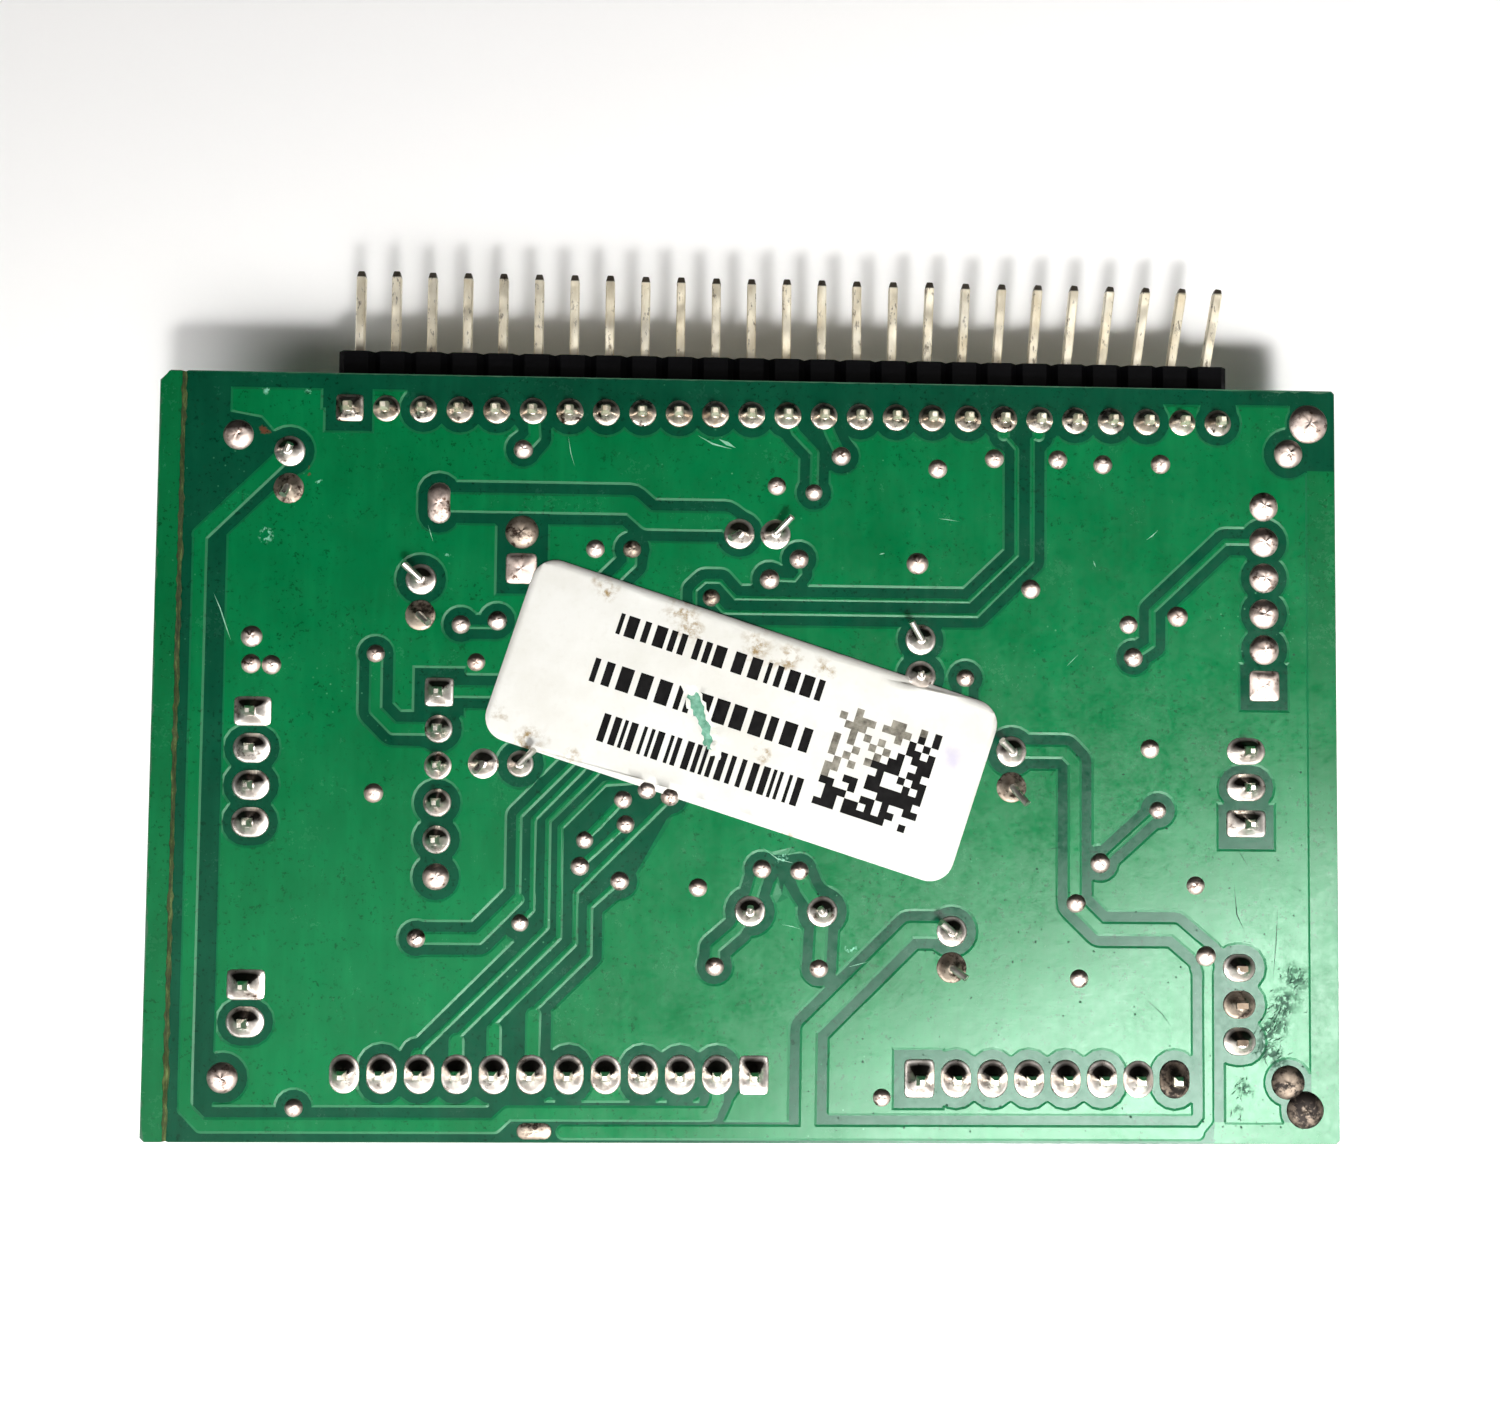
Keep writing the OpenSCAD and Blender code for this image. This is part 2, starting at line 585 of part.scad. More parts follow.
module switch_slider() {
    m = mid(rowS);
    color("black") component_side(m[0], m[1]) translate([0, -switch_travel/2, 0]) {
        box(-1.3, 1.3, -slider_l/2, slider_l/2, 1.2 + gap, switch_h - 0.4 - gap);
        box(-knob_w/2, knob_w/2, -knob_w/2, knob_w/2, 1.5, switch_h + knob_h);
    }
}
module blade() {
    box(-0.4, 0.4, -0.2, 0.2, -board_t - 0.75, 1);
}
module switch_pins() {
    m = mid(rowS);
    color("silver") component_side(m[0], m[1]) for (i = [-1, 0, 1])
        translate([0, pitch*i, 0]) blade();
}

// ---------------------------------------------------------------- solder
module solder_header() {
    color("whitesmoke") for (i = [0:header_n - 1]) difference() {
        union() {
            solder_side(header_x + pitch*i, header_y) joint(0.95, cone_h, pin_s*0.6, pin_drill);
            if (i == 0) translate([header_x, header_y, zs + 0.1])
                cube([1.8, 1.8, 0.2], center = true);
        }
        header_pin(i);
    }
}

// Joint of a wafer pin on an oblong or square pad, long side along x.
module oblong_joint(l, w, square_pad) {
    difference() {
        union() {
            joint(w/2 - 0.02, cone_h + 0.15, pin_s*0.62, pin_drill);
            if (square_pad) translate([-l/2, -w/2, 0]) cube([l, w, 0.25]);
            else stadium(l, w, 0.25);
        }
        translate([0, 0, -board_t]) mirror([0, 0, 1]) post(pin_s, -board_t - pin_tail, 3);
    }
}

module row_joints(row, turn, l, w, squares) {
    color("whitesmoke") for (i = [0:row[2] - 1]) solder_side(at(row, i)[0], at(row, i)[1], turn)
        oblong_joint(l, w, len([for (s = squares) if (s == i) 1]) > 0);
}

module round_joints(row, n, r, first_square) {
    color("whitesmoke") for (i = [0:n - 1]) solder_side(at(row, i)[0], at(row, i)[1])
        difference() {
            union() {
                joint(r, cone_h, pin_s*0.62, pin_drill);
                if (first_square && i == 0) translate([-r - 0.03, -r - 0.03, 0])
                    cube([2*r + 0.06, 2*r + 0.06, 0.25]);
            }
            translate([0, 0, -board_t]) mirror([0, 0, 1]) post(pin_s, -board_t - pin_tail, 3);
        }
}

module solder_wafers() {
    row_joints(row12, 90, 2.75, 2.05, [11]);
    row_joints(row8, 90, 2.65, 2.1, [0]);
    row_joints(row4, 0, 2.6, 2.05, [0]);
    row_joints(row2, 0, 2.65, 2.1, [0]);
    row_joints(row3, 0, 2.8, 1.9, [2]);
    round_joints(row5, 5, 0.97, true);
    color("whitesmoke") for (i = [0:2]) solder_side(at(rowS, i)[0], at(rowS, i)[1]) difference() {
        union() {
            joint(0.97, 0.6, 0.52, pin_drill);
            stadium(2.3, 1.94, 0.2);
        }
        translate([0, 0, -board_t]) mirror([0, 0, 1]) blade();
    }
}

module solder_leads() {
    color("whitesmoke") for (k = [0:len(LEADS) - 1]) difference() {
        solder_side(LEADS[k][0], LEADS[k][1])
            joint(k == 13 ? 0.92 : 1.07, joint_h, 0.42, lead_drill);
        wire(k, k < 8 ? 0.5 : 0.46, 0.85);
    }
}

module solder_empty() {
    color("whitesmoke") {
        for (k = [0:len(EMPTY) - 1]) solder_side(EMPTY[k][0], EMPTY[k][1])
            cap(EMPTY[k][2]/2, fill_h, k < 7 ? pin_drill/2 - eps : k < 11 ? lead_drill/2 - eps : 0);
        // the label's corner lies over one of the square pads, so it is cut off there
        for (p = EMPTY_SQUARE) difference() {
            solder_side(p[0], p[1]) {
                translate([-1.07, -1.07, 0]) cube([2.14, 2.14, 0.16]);
                translate([0, 0, 0.1]) cap(1, fill_h - 0.12);
                translate([0, 0, -board_t]) cylinder(h = board_t + 0.1, d = pin_drill - 2*eps);
            }
            label_blank(1, 0.02);
        }
        translate([patch[0], patch[1], zs]) stadium(patch[2], patch[3], 0.18);
    }
}

module solder_vias() {
    color("whitesmoke") {
        for (v = VIAS) solder_side(v[0], v[1]) cap(v[2]/2, via_h);
        // the label's edge lies across these two, so they are cut off square
        for (v = VIAS_EDGE) difference() {
            solder_side(v[0], v[1]) cap(v[2]/2, via_h);
            label_blank(1, 0.02);
        }
    }
}

// ---------------------------------------------------------------- label
module label_blank(h, grow) {
    translate([label_c[0], label_c[1], zs]) rotate([0, 0, -label_turn])
        linear_extrude(height = h) rounded(label_l + 2*grow, label_w + 2*grow, 1.7);
}

// The paper lies on the board and is pushed up over the one joint at its rear edge.
module label() {
    color("white") difference() {
        union() {
            label_blank(label_t, 0);
            intersection() {
                label_blank(2, 0);
                translate([cer_e[2], cer_e[3], zs]) cap(1.62, 1.12);
            }
        }
        translate([cer_e[2], cer_e[3], zs]) cap(1.45, 1);
        // notch around the clinched wire end at the front edge
        translate([cer_h[2], cer_h[3], zs]) rotate([0, 0, 42]) box(0, 2.3, -0.3, 0.3, -1, 2);
    }
}

placed() board();
placed() header_strip();
placed() header_pins();
placed() wafer12_shell();
placed() wafer12_pins();
placed() wafer8_shell();
placed() wafer8_pins();
placed() wafer4_shell();
placed() wafer4_pins();
placed() wafer3_shell();
placed() wafer3_pins();
placed() wafer2_shell();
placed() wafer2_pins();
placed() wafer5_shell();
placed() wafer5_pins();
placed() crystal_can();
placed() crystal_base();
placed() crystal_leads();
placed() capacitor_cans();
placed() capacitor_sleeves();
placed() capacitor_bungs();
placed() capacitor_leads();
placed() ceramic_bodies();
placed() ceramic_leads();
placed() controller_body();
placed() controller_leads();
placed() driver_bodies();
placed() driver_leads();
placed() regulator_body();
placed() regulator_leads();
placed() diode_bodies();
placed() diode_leads();
placed() resistor_bodies();
placed() chip_capacitor_bodies();
placed() chip_ends();
placed() lamp_body();
placed() switch_case();
placed() switch_slider();
placed() switch_pins();
placed() solder_header();
placed() solder_wafers();
placed() solder_leads();
placed() solder_empty();
placed() solder_vias();
placed() label();
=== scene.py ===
"""Looks of the servo driver board: copper relief under green mask, solder joints, label, finishes."""

import math

import bpy
import numpy as np
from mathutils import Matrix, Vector, noise
from mathutils.geometry import delaunay_2d_cdt


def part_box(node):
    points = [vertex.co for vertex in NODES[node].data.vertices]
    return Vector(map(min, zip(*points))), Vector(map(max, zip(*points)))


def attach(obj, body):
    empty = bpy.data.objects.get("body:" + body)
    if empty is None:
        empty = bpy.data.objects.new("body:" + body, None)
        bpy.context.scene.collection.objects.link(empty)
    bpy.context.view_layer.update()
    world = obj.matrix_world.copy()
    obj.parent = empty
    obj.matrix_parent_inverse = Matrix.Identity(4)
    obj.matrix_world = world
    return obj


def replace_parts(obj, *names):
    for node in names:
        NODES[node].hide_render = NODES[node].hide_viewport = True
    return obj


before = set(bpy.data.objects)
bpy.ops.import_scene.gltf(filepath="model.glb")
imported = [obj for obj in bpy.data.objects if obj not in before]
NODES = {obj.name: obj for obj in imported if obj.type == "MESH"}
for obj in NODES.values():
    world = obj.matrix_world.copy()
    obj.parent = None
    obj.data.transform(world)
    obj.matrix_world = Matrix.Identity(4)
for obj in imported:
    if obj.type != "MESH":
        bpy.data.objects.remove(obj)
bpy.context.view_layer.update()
MM = 0.001
scene = bpy.context.scene

board_lo, board_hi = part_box("board")
CX = (board_lo.x + board_hi.x)/2
CY = (board_lo.y + board_hi.y)/2
ZS = board_hi.z                     # solder face of the board
HALF_W = (board_hi.x - board_lo.x)/2/MM
HALF_D = (board_hi.y - board_lo.y)/2/MM
MASK_LOW = 0.025                    # mask over bare laminate, above the solder face, mm
MASK_HIGH = 0.07                    # mask over copper
WALL = 0.17                         # width of the sloping edge of the copper


# ---- materials
class Nodes:
    """A node tree, with short calls that add nodes to it and return their output sockets."""

    def __init__(self, tree, coordinate="Object"):
        self.tree = tree
        self.coord = self.new("ShaderNodeTexCoord").outputs[coordinate]

    def new(self, kind, **settings):
        node = self.tree.nodes.new(kind)
        for key, value in settings.items():
            setattr(node, key, value)
        return node

    def link(self, a, b):
        self.tree.links.new(a, b)

    def stretched(self, scale):
        m = self.new("ShaderNodeMapping")
        self.link(self.coord, m.inputs["Vector"])
        m.inputs["Scale"].default_value = scale
        return m.outputs["Vector"]

    def noise(self, scale, detail=3.0, rough=0.5, vector=None, distortion=0.0):
        n = self.new("ShaderNodeTexNoise")
        self.link(vector or self.coord, n.inputs["Vector"])
        n.inputs["Scale"].default_value = scale
        n.inputs["Detail"].default_value = detail
        n.inputs["Roughness"].default_value = rough
        n.inputs["Distortion"].default_value = distortion
        return n.outputs["Fac"]

    def cells(self, scale):
        v = self.new("ShaderNodeTexVoronoi")
        self.link(self.coord, v.inputs["Vector"])
        v.inputs["Scale"].default_value = scale
        return v.outputs["Distance"]

    def near(self, x, y, inner, outer, ragged, scale=900):
        """1 within inner mm of a point of the solder face, 0 beyond outer, the border uneven by ragged mm."""
        d = self.new("ShaderNodeVectorMath", operation="DISTANCE")
        self.link(self.coord, d.inputs[0])
        d.inputs[1].default_value = (CX + x*MM, CY + y*MM, ZS)
        shift = self.span(self.noise(scale, 3, 0.6), 0.3, 0.7, -ragged*MM, ragged*MM)
        return self.span(self.math("ADD", d.outputs["Value"], shift), outer*MM, inner*MM)

    def axis(self, which, vector=None):
        s = self.new("ShaderNodeSeparateXYZ")
        self.link(vector or self.coord, s.inputs[0])
        return s.outputs[which]

    def normal_axis(self, which):
        return self.axis(which, self.new("ShaderNodeNewGeometry").outputs["Normal"])

    def times(self, a, b):
        return self.math("MULTIPLY", a, b)

    def shades(self, fac, dark, light, start=0.3, end=0.7):
        """One colour, given in display values, fading into another."""
        return self.ramp(fac, (start, srgb(*dark)), (end, srgb(*light)))

    def ramp(self, fac, *stops):
        """A colour ramp; each stop is a position and a colour."""
        r = self.new("ShaderNodeValToRGB")
        while len(r.color_ramp.elements) < len(stops):
            r.color_ramp.elements.new(0.5)
        for e, (place, colour) in zip(r.color_ramp.elements, stops):
            e.position, e.color = place, (*colour, 1)
        self.link(fac, r.inputs["Fac"])
        return r.outputs["Color"]

    def span(self, value, a, b, c=0.0, d=1.0):
        """The range a..b of a value, turned into c..d and held there."""
        m = self.new("ShaderNodeMapRange", clamp=True)
        self.link(value, m.inputs["Value"])
        for key, v in zip(("From Min", "From Max", "To Min", "To Max"), (a, b, c, d)):
            m.inputs[key].default_value = v
        return m.outputs["Result"]

    def math(self, op, a, b):
        m = self.new("ShaderNodeMath", operation=op)
        for socket, v in zip(m.inputs, (a, b)):
            if isinstance(v, (int, float)):
                socket.default_value = v
            else:
                self.link(v, socket)
        return m.outputs[0]

    def mix(self, fac, a, b):
        m = self.new("ShaderNodeMix", data_type="RGBA")
        sockets = [s for s in m.inputs if s.type == "RGBA"]
        for socket, v in ((m.inputs[0], fac), (sockets[0], a), (sockets[1], b)):
            if isinstance(v, (int, float)):
                socket.default_value = v
            elif isinstance(v, tuple):
                socket.default_value = (*v, 1)
            else:
                self.link(v, socket)
        return [s for s in m.outputs if s.type == "RGBA"][0]


class Finish(Nodes):
    """A node material with one Principled shader."""

    def __init__(self, name, **sockets):
        self.mat = bpy.data.materials.new(name)
        self.mat.use_nodes = True
        super().__init__(self.mat.node_tree)
        self.bsdf = self.tree.nodes["Principled BSDF"]
        for key, value in sockets.items():
            self.bsdf.inputs[key.replace("_", " ").title().replace("Ior", "IOR")].default_value = value

    def colour(self, socket):
        self.link(socket, self.bsdf.inputs["Base Color"])

    def roughness(self, socket, low=None, high=None):
        """Roughness from a socket, or low..high from a noise."""
        if high is not None:
            socket = self.span(socket, 0.3, 0.7, low, high)
        self.link(socket, self.bsdf.inputs["Roughness"])

    def bump(self, height, distance_mm, strength=1.0):
        b = self.new("ShaderNodeBump")
        self.link(height, b.inputs["Height"])
        b.inputs["Distance"].default_value = distance_mm*MM
        b.inputs["Strength"].default_value = strength
        self.link(b.outputs["Normal"], self.bsdf.inputs["Normal"])


def srgb(r, g, b):
    """The linear colour of 0..255 display values."""
    def lin(c):
        c /= 255
        return c/12.92 if c <= 0.04045 else ((c + 0.055)/1.055)**2.4
    return (lin(r), lin(g), lin(b))


def mottled(name, dark, light, scale, rough, bump, stretch=(1, 1, 1), spots=None, **sockets):
    """Two shades clouded together, uneven gloss and a fine surface grain. Colours are display values."""
    f = Finish(name, **sockets)
    v = f.stretched(stretch)
    base = f.shades(f.noise(scale, 4, 0.6, v), dark, light)
    if spots:
        colour, amount = spots
        spotted = f.span(f.noise(scale*3.1, 3, 0.7, v), 1 - amount, 1 - amount + 0.08)
        base = f.mix(spotted, base, srgb(*colour))
    f.colour(base)
    f.roughness(f.noise(scale*1.7, 3, 0.5, v), *rough)
    f.bump(f.noise(scale*6, 2, 0.5, v), bump)
    return f.mat


# flux residue, pale scuffs and dark scuffs on the mask: x, y, radius
RESIDUE = [(-33.9, 22.35, 0.32), (-30.9, 19.5, 0.3)]
SCUFFS = [(-33.6, 15.1, 0.6), (-30.2, 18.8, 0.4), (-31.0, 25.0, 0.35), (-33.9, 25.1, 0.3), (2.2, -7.0, 0.6),
          (-35.3, -2.6, 0.35), (-21.2, 13.6, 0.4), (7.0, -13.2, 0.4)]
DARK_SCUFFS = [(38.2, -15.0, 1.2), (37.3, -16.7, 1.3), (36.5, -18.5, 1.3), (36.2, -19.9, 1.2),
               (36.9, -21.0, 0.8), (34.4, -22.7, 0.7), (33.8, -24.2, 0.4)]


def mask_finish(name, shade, light, rough, bump, gloss=0.3):
    """Solder mask: green lacquer, clouded, with the weave of the cloth and fine dust in it."""
    f = Finish(name, specular_ior_level=gloss)
    f.bsdf.inputs["Specular Tint"].default_value = (0.8, 1.0, 0.9, 1)
    base = f.shades(f.noise(160, 5, 0.6), shade, light)
    weave = f.noise(1100, 3, 0.6, f.stretched((1, 0.15, 0.2)))
    base = f.mix(f.span(weave, 0.45, 0.85, 0.0, 0.22), base, tuple(c*1.7 + 0.004 for c in srgb(*light)))
    dust = f.times(f.span(f.cells(1300), 0.1, 0.06), f.span(f.noise(95, 2), 0.56, 0.72))
    base = f.mix(f.times(dust, 0.5), base, srgb(90, 160, 120))
    patches = f.span(f.noise(140, 2, 0.5, f.stretched((1, 1.3, 1))), 0.55, 0.66)
    grime = f.times(f.span(f.cells(900), 0.1, 0.05), patches)
    base = f.mix(grime, base, srgb(20, 60, 40))
    flecks = f.span(f.noise(2400, 3, 0.7), 0.54, 0.62)
    for x, y, r in SCUFFS:
        base = f.mix(f.times(f.near(x, y, r*0.3, r, 0.3), flecks), base, srgb(120, 186, 158))
    for x, y, r in RESIDUE:
        base = f.mix(f.near(x, y, r*0.4, r, 0.35, 1600), base, srgb(94, 58, 42))
    scuffed = 0.0
    for x, y, r in DARK_SCUFFS:
        flakes = f.span(f.noise(2200, 4, 0.75), 0.44, 0.54)
        mark = f.times(f.near(x, y, r*0.3, r, 0.35, 1300), flakes)
        base = f.mix(mark, base, srgb(4, 52, 34))
        scuffed = f.math("MAXIMUM", mark, scuffed)
    specks = f.times(f.span(f.noise(3400, 2, 0.6), 0.6, 0.68),
                    f.span(f.noise(300, 3, 0.6), 0.36, 0.56))
    base = f.mix(f.times(specks, 0.7), base, tuple(c*0.4 for c in srgb(*shade)))
    f.colour(base)
    grain = f.times(f.span(f.noise(750, 6, 0.8), 0.36, 0.62, 0.62, 1.22),
                   f.span(f.noise(2600, 4, 0.75), 0.34, 0.62, 1.2, 0.62))
    cloud = f.span(f.noise(260, 4, 0.6), 0.3, 0.75, rough - 0.03, rough + 0.06)
    worn = f.math("ADD", f.times(f.math("SUBTRACT", 1.0, grain), 0.12),
                  f.times(scuffed, 0.4))
    f.roughness(f.math("ADD", cloud, worn))
    ripple = f.math("ADD", f.noise(480, 4, 0.6), f.times(f.noise(2400, 3, 0.7), 0.12))
    f.bump(ripple, bump, 0.8)
    return f.mat


MASK_COPPER = mask_finish("mask_over_copper", (0, 94, 50), (2, 106, 59), 0.19, 0.012, 0.32)
MASK_BARE = mask_finish("mask_over_laminate", (2, 58, 39), (5, 71, 48), 0.19, 0.012, 0.24)
MASK_EDGE = mask_finish("mask_on_copper_edge", (2, 88, 50), (4, 102, 60), 0.4, 0.008, 0.25)
MASK_RAIL = mask_finish("mask_over_rail", (3, 86, 45), (5, 100, 55), 0.2, 0.012)
SCRATCH = mottled("mask_scratch", (66, 148, 110), (160, 208, 184), 900, (0.6, 0.8), 0.01)
HAIRLINE = mottled("mask_hairline", (3, 38, 26), (12, 62, 42), 900, (0.6, 0.8), 0.01, specular_ior_level=0.12)


def solder_finish(name, bright, dull, grime, amount, rough, metallic, painted_shade, above=0.0):
    """Solder: bright metal under a thin dull skin, with brown flux clouded through it, and painted shade on
    its rear flank (faces turned towards +Y, away from the lamps), up to the given amount, from the height
    above (mm) upwards."""
    f = Finish(name, metallic=metallic, specular_ior_level=0.6)
    base = f.shades(f.noise(700, 5, 0.65, None, 0.4), dull, bright, 0.32, 0.62)
    dirt = f.span(f.noise(1300, 4, 0.7), 1 - amount, 1.12 - amount)
    base = f.mix(dirt, base, srgb(*grime))
    # painted shade: faces turned towards +Y, away from the lamps, are darkened towards dark brown below
    rear = f.math("ADD", f.normal_axis("Y"), f.span(f.noise(1100, 3, 0.6), 0.3, 0.7, -0.12, 0.12))
    height = f.span(f.axis("Z"), ZS + above*MM, ZS + (above + 0.12)*MM)
    base = f.mix(f.times(f.span(rear, 0.0, 0.3, 0.0, painted_shade), height), base, srgb(18, 12, 9))
    f.colour(base)
    f.roughness(f.noise(900, 3, 0.6), *rough)
    f.bump(f.noise(1500, 4, 0.6), 0.02, 0.6)
    return f.mat


SOLDER = solder_finish("solder", (242, 236, 230), (196, 184, 174), (90, 68, 54),
                       0.42, (0.3, 0.46), 1.0, 0.97, 0.13)
SOLDER_FLUX = solder_finish("solder_with_flux", (240, 232, 222), (168, 152, 134), (40, 27, 20),
                            0.46, (0.28, 0.42), 1.0, 0.9, 0.1)
SOLDER_DOME = solder_finish("solder_dome", (212, 198, 190), (166, 148, 138), (78, 58, 46),
                            0.45, (0.44, 0.6), 0.95, 0.85)
SOLDER_DULL = solder_finish("solder_dull", (164, 152, 138), (112, 98, 86), (44, 32, 25),
                            0.52, (0.45, 0.6), 0.85, 0.5)
SOLDER_DARK = solder_finish("solder_oxidised", (118, 106, 94), (66, 56, 48), (22, 16, 12),
                            0.56, (0.5, 0.65), 0.8, 0.4)


def bare_laminate():
    """The cut edge and the groove: yellow-brown glass fibre with dark tears, green skin on the faces."""
    f = Finish("laminate")
    fibre = f.ramp(f.noise(900, 5, 0.8, f.stretched((2, 1, 5))),
                   (0.32, srgb(28, 32, 13)), (0.52, srgb(66, 80, 36)), (0.74, srgb(134, 152, 90)))
    level = f.math("ABSOLUTE", f.normal_axis("Z"), 0.0)
    skin = f.shades(f.noise(200, 4, 0.6), (4, 70, 42), (6, 88, 52))
    f.colour(f.mix(f.span(level, 0.93, 0.97), fibre, skin))
    f.roughness(f.noise(300, 3), 0.45, 0.7)
    f.bump(f.noise(900, 4, 0.7), 0.03)
    return f.mat


def pin_finish():
    """Square pins: thin gold over nickel, worn grey, dark cut tips."""
    f = Finish("header_pin_metal", metallic=0.7)
    v = f.stretched((1, 0.35, 1))
    base = f.shades(f.noise(900, 4, 0.65, v), (214, 201, 172), (252, 246, 228))
    specks = f.span(f.noise(3200, 3, 0.7, v), 0.58, 0.68, 0.0, 0.75)
    base = f.mix(specks, base, srgb(74, 58, 40))
    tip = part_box("header_pins")[1].y
    base = f.mix(f.span(f.axis("Y"), tip - 0.5*MM, tip - 0.42*MM, 0.0, 0.92), base, srgb(40, 30, 24))
    f.colour(base)
    f.roughness(f.noise(800, 3), 0.28, 0.5)
    f.bump(f.noise(1400, 3), 0.01)
    return f.mat


LOOKS = {
    "board": bare_laminate(),
    "header_pins": pin_finish(),
    "header_strip": mottled("header_plastic", (1, 1, 2), (4, 4, 6), 500, (0.5, 0.7), 0.012,
        specular_ior_level=0.04),
    "shell": mottled("wafer_nylon", (186, 179, 158), (206, 200, 182), 220, (0.4, 0.6), 0.01),
    "pins": mottled("tinned_pin", (178, 172, 160), (222, 218, 208), 800, (0.25, 0.45), 0.008,
        metallic=0.95, spots=((88, 72, 52), 0.36)),
    "switch_pins": mottled("switch_blade", (52, 44, 36), (92, 80, 68), 800, (0.45, 0.6), 0.01, metallic=0.9),
    "leads": mottled("tinned_wire", (176, 172, 164), (226, 222, 214), 900, (0.22, 0.42), 0.008,
        (1, 1, 0.4), metallic=0.95),
    "crystal_can": mottled("nickelled_can", (168, 166, 160), (198, 196, 190), 300, (0.22, 0.34), 0.004,
        (1, 4, 1), metallic=1.0),
    "crystal_base": mottled("crystal_base", (150, 148, 142), (186, 184, 178), 400, (0.3, 0.5), 0.006,
        metallic=1.0),
    "capacitor_cans": mottled("capacitor_aluminium", (186, 187, 190), (214, 215, 218), 500, (0.25, 0.4),
        0.004, (1, 6, 1), metallic=1.0),
    "capacitor_sleeves": mottled("vinyl_sleeve", (18, 24, 58), (30, 38, 84), 180, (0.22, 0.36), 0.01),
    "capacitor_bungs": mottled("rubber_bung", (20, 20, 20), (44, 44, 44), 600, (0.7, 0.9), 0.02),
    "ceramic_bodies": mottled("dipped_ceramic", (170, 104, 32), (204, 138, 58), 260, (0.3, 0.5), 0.03),
    "body": mottled("moulded_package", (22, 22, 24), (44, 44, 46), 900, (0.5, 0.75), 0.02),
    "bodies": mottled("moulded_packages", (22, 22, 24), (44, 44, 46), 900, (0.5, 0.75), 0.02),
    "chip_capacitor_bodies": mottled("chip_ceramic", (150, 124, 88), (178, 150, 112), 700, (0.5, 0.7), 0.01),
    "chip_ends": mottled("chip_end", (176, 174, 168), (214, 212, 206), 900, (0.3, 0.5), 0.02, metallic=0.9),
    "lamp_body": mottled("lamp_lens", (196, 214, 178), (222, 236, 208), 500, (0.2, 0.35), 0.005),
    "switch_case": mottled("switch_case_metal", (160, 160, 158), (196, 196, 194), 350, (0.28, 0.42), 0.006,
        (1, 5, 1), metallic=1.0),
    "switch_slider": mottled("switch_knob_plastic", (24, 24, 26), (48, 48, 50), 600, (0.45, 0.6), 0.01),
}
for name, node in NODES.items():
    look = LOOKS.get(name) or LOOKS.get(name.rsplit("_", 1)[-1])
    if look is not None:
        node.data.materials.clear()
        node.data.materials.append(look)
        for slot in node.material_slots:
            slot.link = "OBJECT"
            slot.material = look


# ---- mesh helpers
def at(x, y, z=0.0):
    """Board-centred millimetres, z above the solder face, to metres in the frame."""
    return Vector((CX + x*MM, CY + y*MM, ZS + z*MM))


def add(name, data):
    obj = bpy.data.objects.new(name, data)
    scene.collection.objects.link(obj)
    return obj


def piece(name, verts, faces, materials, face_mats=None, smooth=True):
    """A mesh object that rides on the board; smooth is one value, or a list with one for each face."""
    mesh = bpy.data.meshes.new(name)
    mesh.from_pydata([tuple(v) for v in verts], [], faces)
    for m in materials:
        mesh.materials.append(m)
    if face_mats is not None:
        mesh.polygons.foreach_set("material_index", face_mats)
    flags = smooth if isinstance(smooth, list) else [smooth]*len(mesh.polygons)
    mesh.polygons.foreach_set("use_smooth", flags)
    mesh.validate()
    mesh.update()
    obj = add(name, mesh)
    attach(obj, "root")
    return obj


def outline(points, r):
    """Closed outline at distance r round a polyline, rounded outside each bend."""
    pts = [Vector(p) for p in points]
    if len(pts) == 1:
        n, c = max(14, int(16*math.sqrt(r))), pts[0]
        turns = [2*math.pi*k/n for k in range(n)]
        return [(c.x + r*math.cos(a), c.y + r*math.sin(a)) for a in turns]
    out = []

    def arc(c, a0, a1, steps):
        for k in range(steps + 1):
            a = a0 + (a1 - a0)*k/steps
            out.append((c.x + r*math.cos(a), c.y + r*math.sin(a)))

    def side(seq):
        for k in range(len(seq) - 1):
            d = (seq[k + 1] - seq[k]).normalized()
            n = Vector((-d.y, d.x))
            turn = math.atan2(d0.cross(d), d0.dot(d)) if k else 0
            if turn < 0:
                a0 = math.atan2(n0.y, n0.x)
                arc(seq[k], a0, a0 + turn, max(2, int(abs(turn)*4)))
            else:
                m = (n0 + n)/(n0 + n).length_squared*2 if k else n
                out.append((seq[k].x + m.x*r, seq[k].y + m.y*r))
            d0, n0 = d, n
        a0 = math.atan2(n.y, n.x)
        arc(seq[-1], a0, a0 - math.pi, 8)

    side(pts)
    side(pts[::-1])
    return out


def segments_distance(p, pts):
    """Distance of each point to a polyline."""
    pts = np.array(pts, float)
    if len(pts) == 1:
        return np.hypot(*(p - pts[0]).T)
    best = np.full(len(p), np.inf)
    for a, b in zip(pts[:-1], pts[1:]):
        d = b - a
        t = np.clip(((p - a)@d)/(d@d), 0, 1)
        best = np.minimum(best, np.hypot(*(p - a - t[:, None]*d).T))
    return best


def polygon_distance(p, poly):
    """Signed distance to a polygon, negative inside."""
    closed = list(poly) + [poly[0]]
    d = segments_distance(p, closed)
    inside = np.zeros(len(p), bool)
    x, y = p.T
    for (x0, y0), (x1, y1) in zip(closed, closed[1:]):
        if y0 != y1:
            inside ^= ((y0 > y) != (y1 > y)) & (x < (x1 - x0)*(y - y0)/(y1 - y0) + x0)
    return np.where(inside, -d, d)


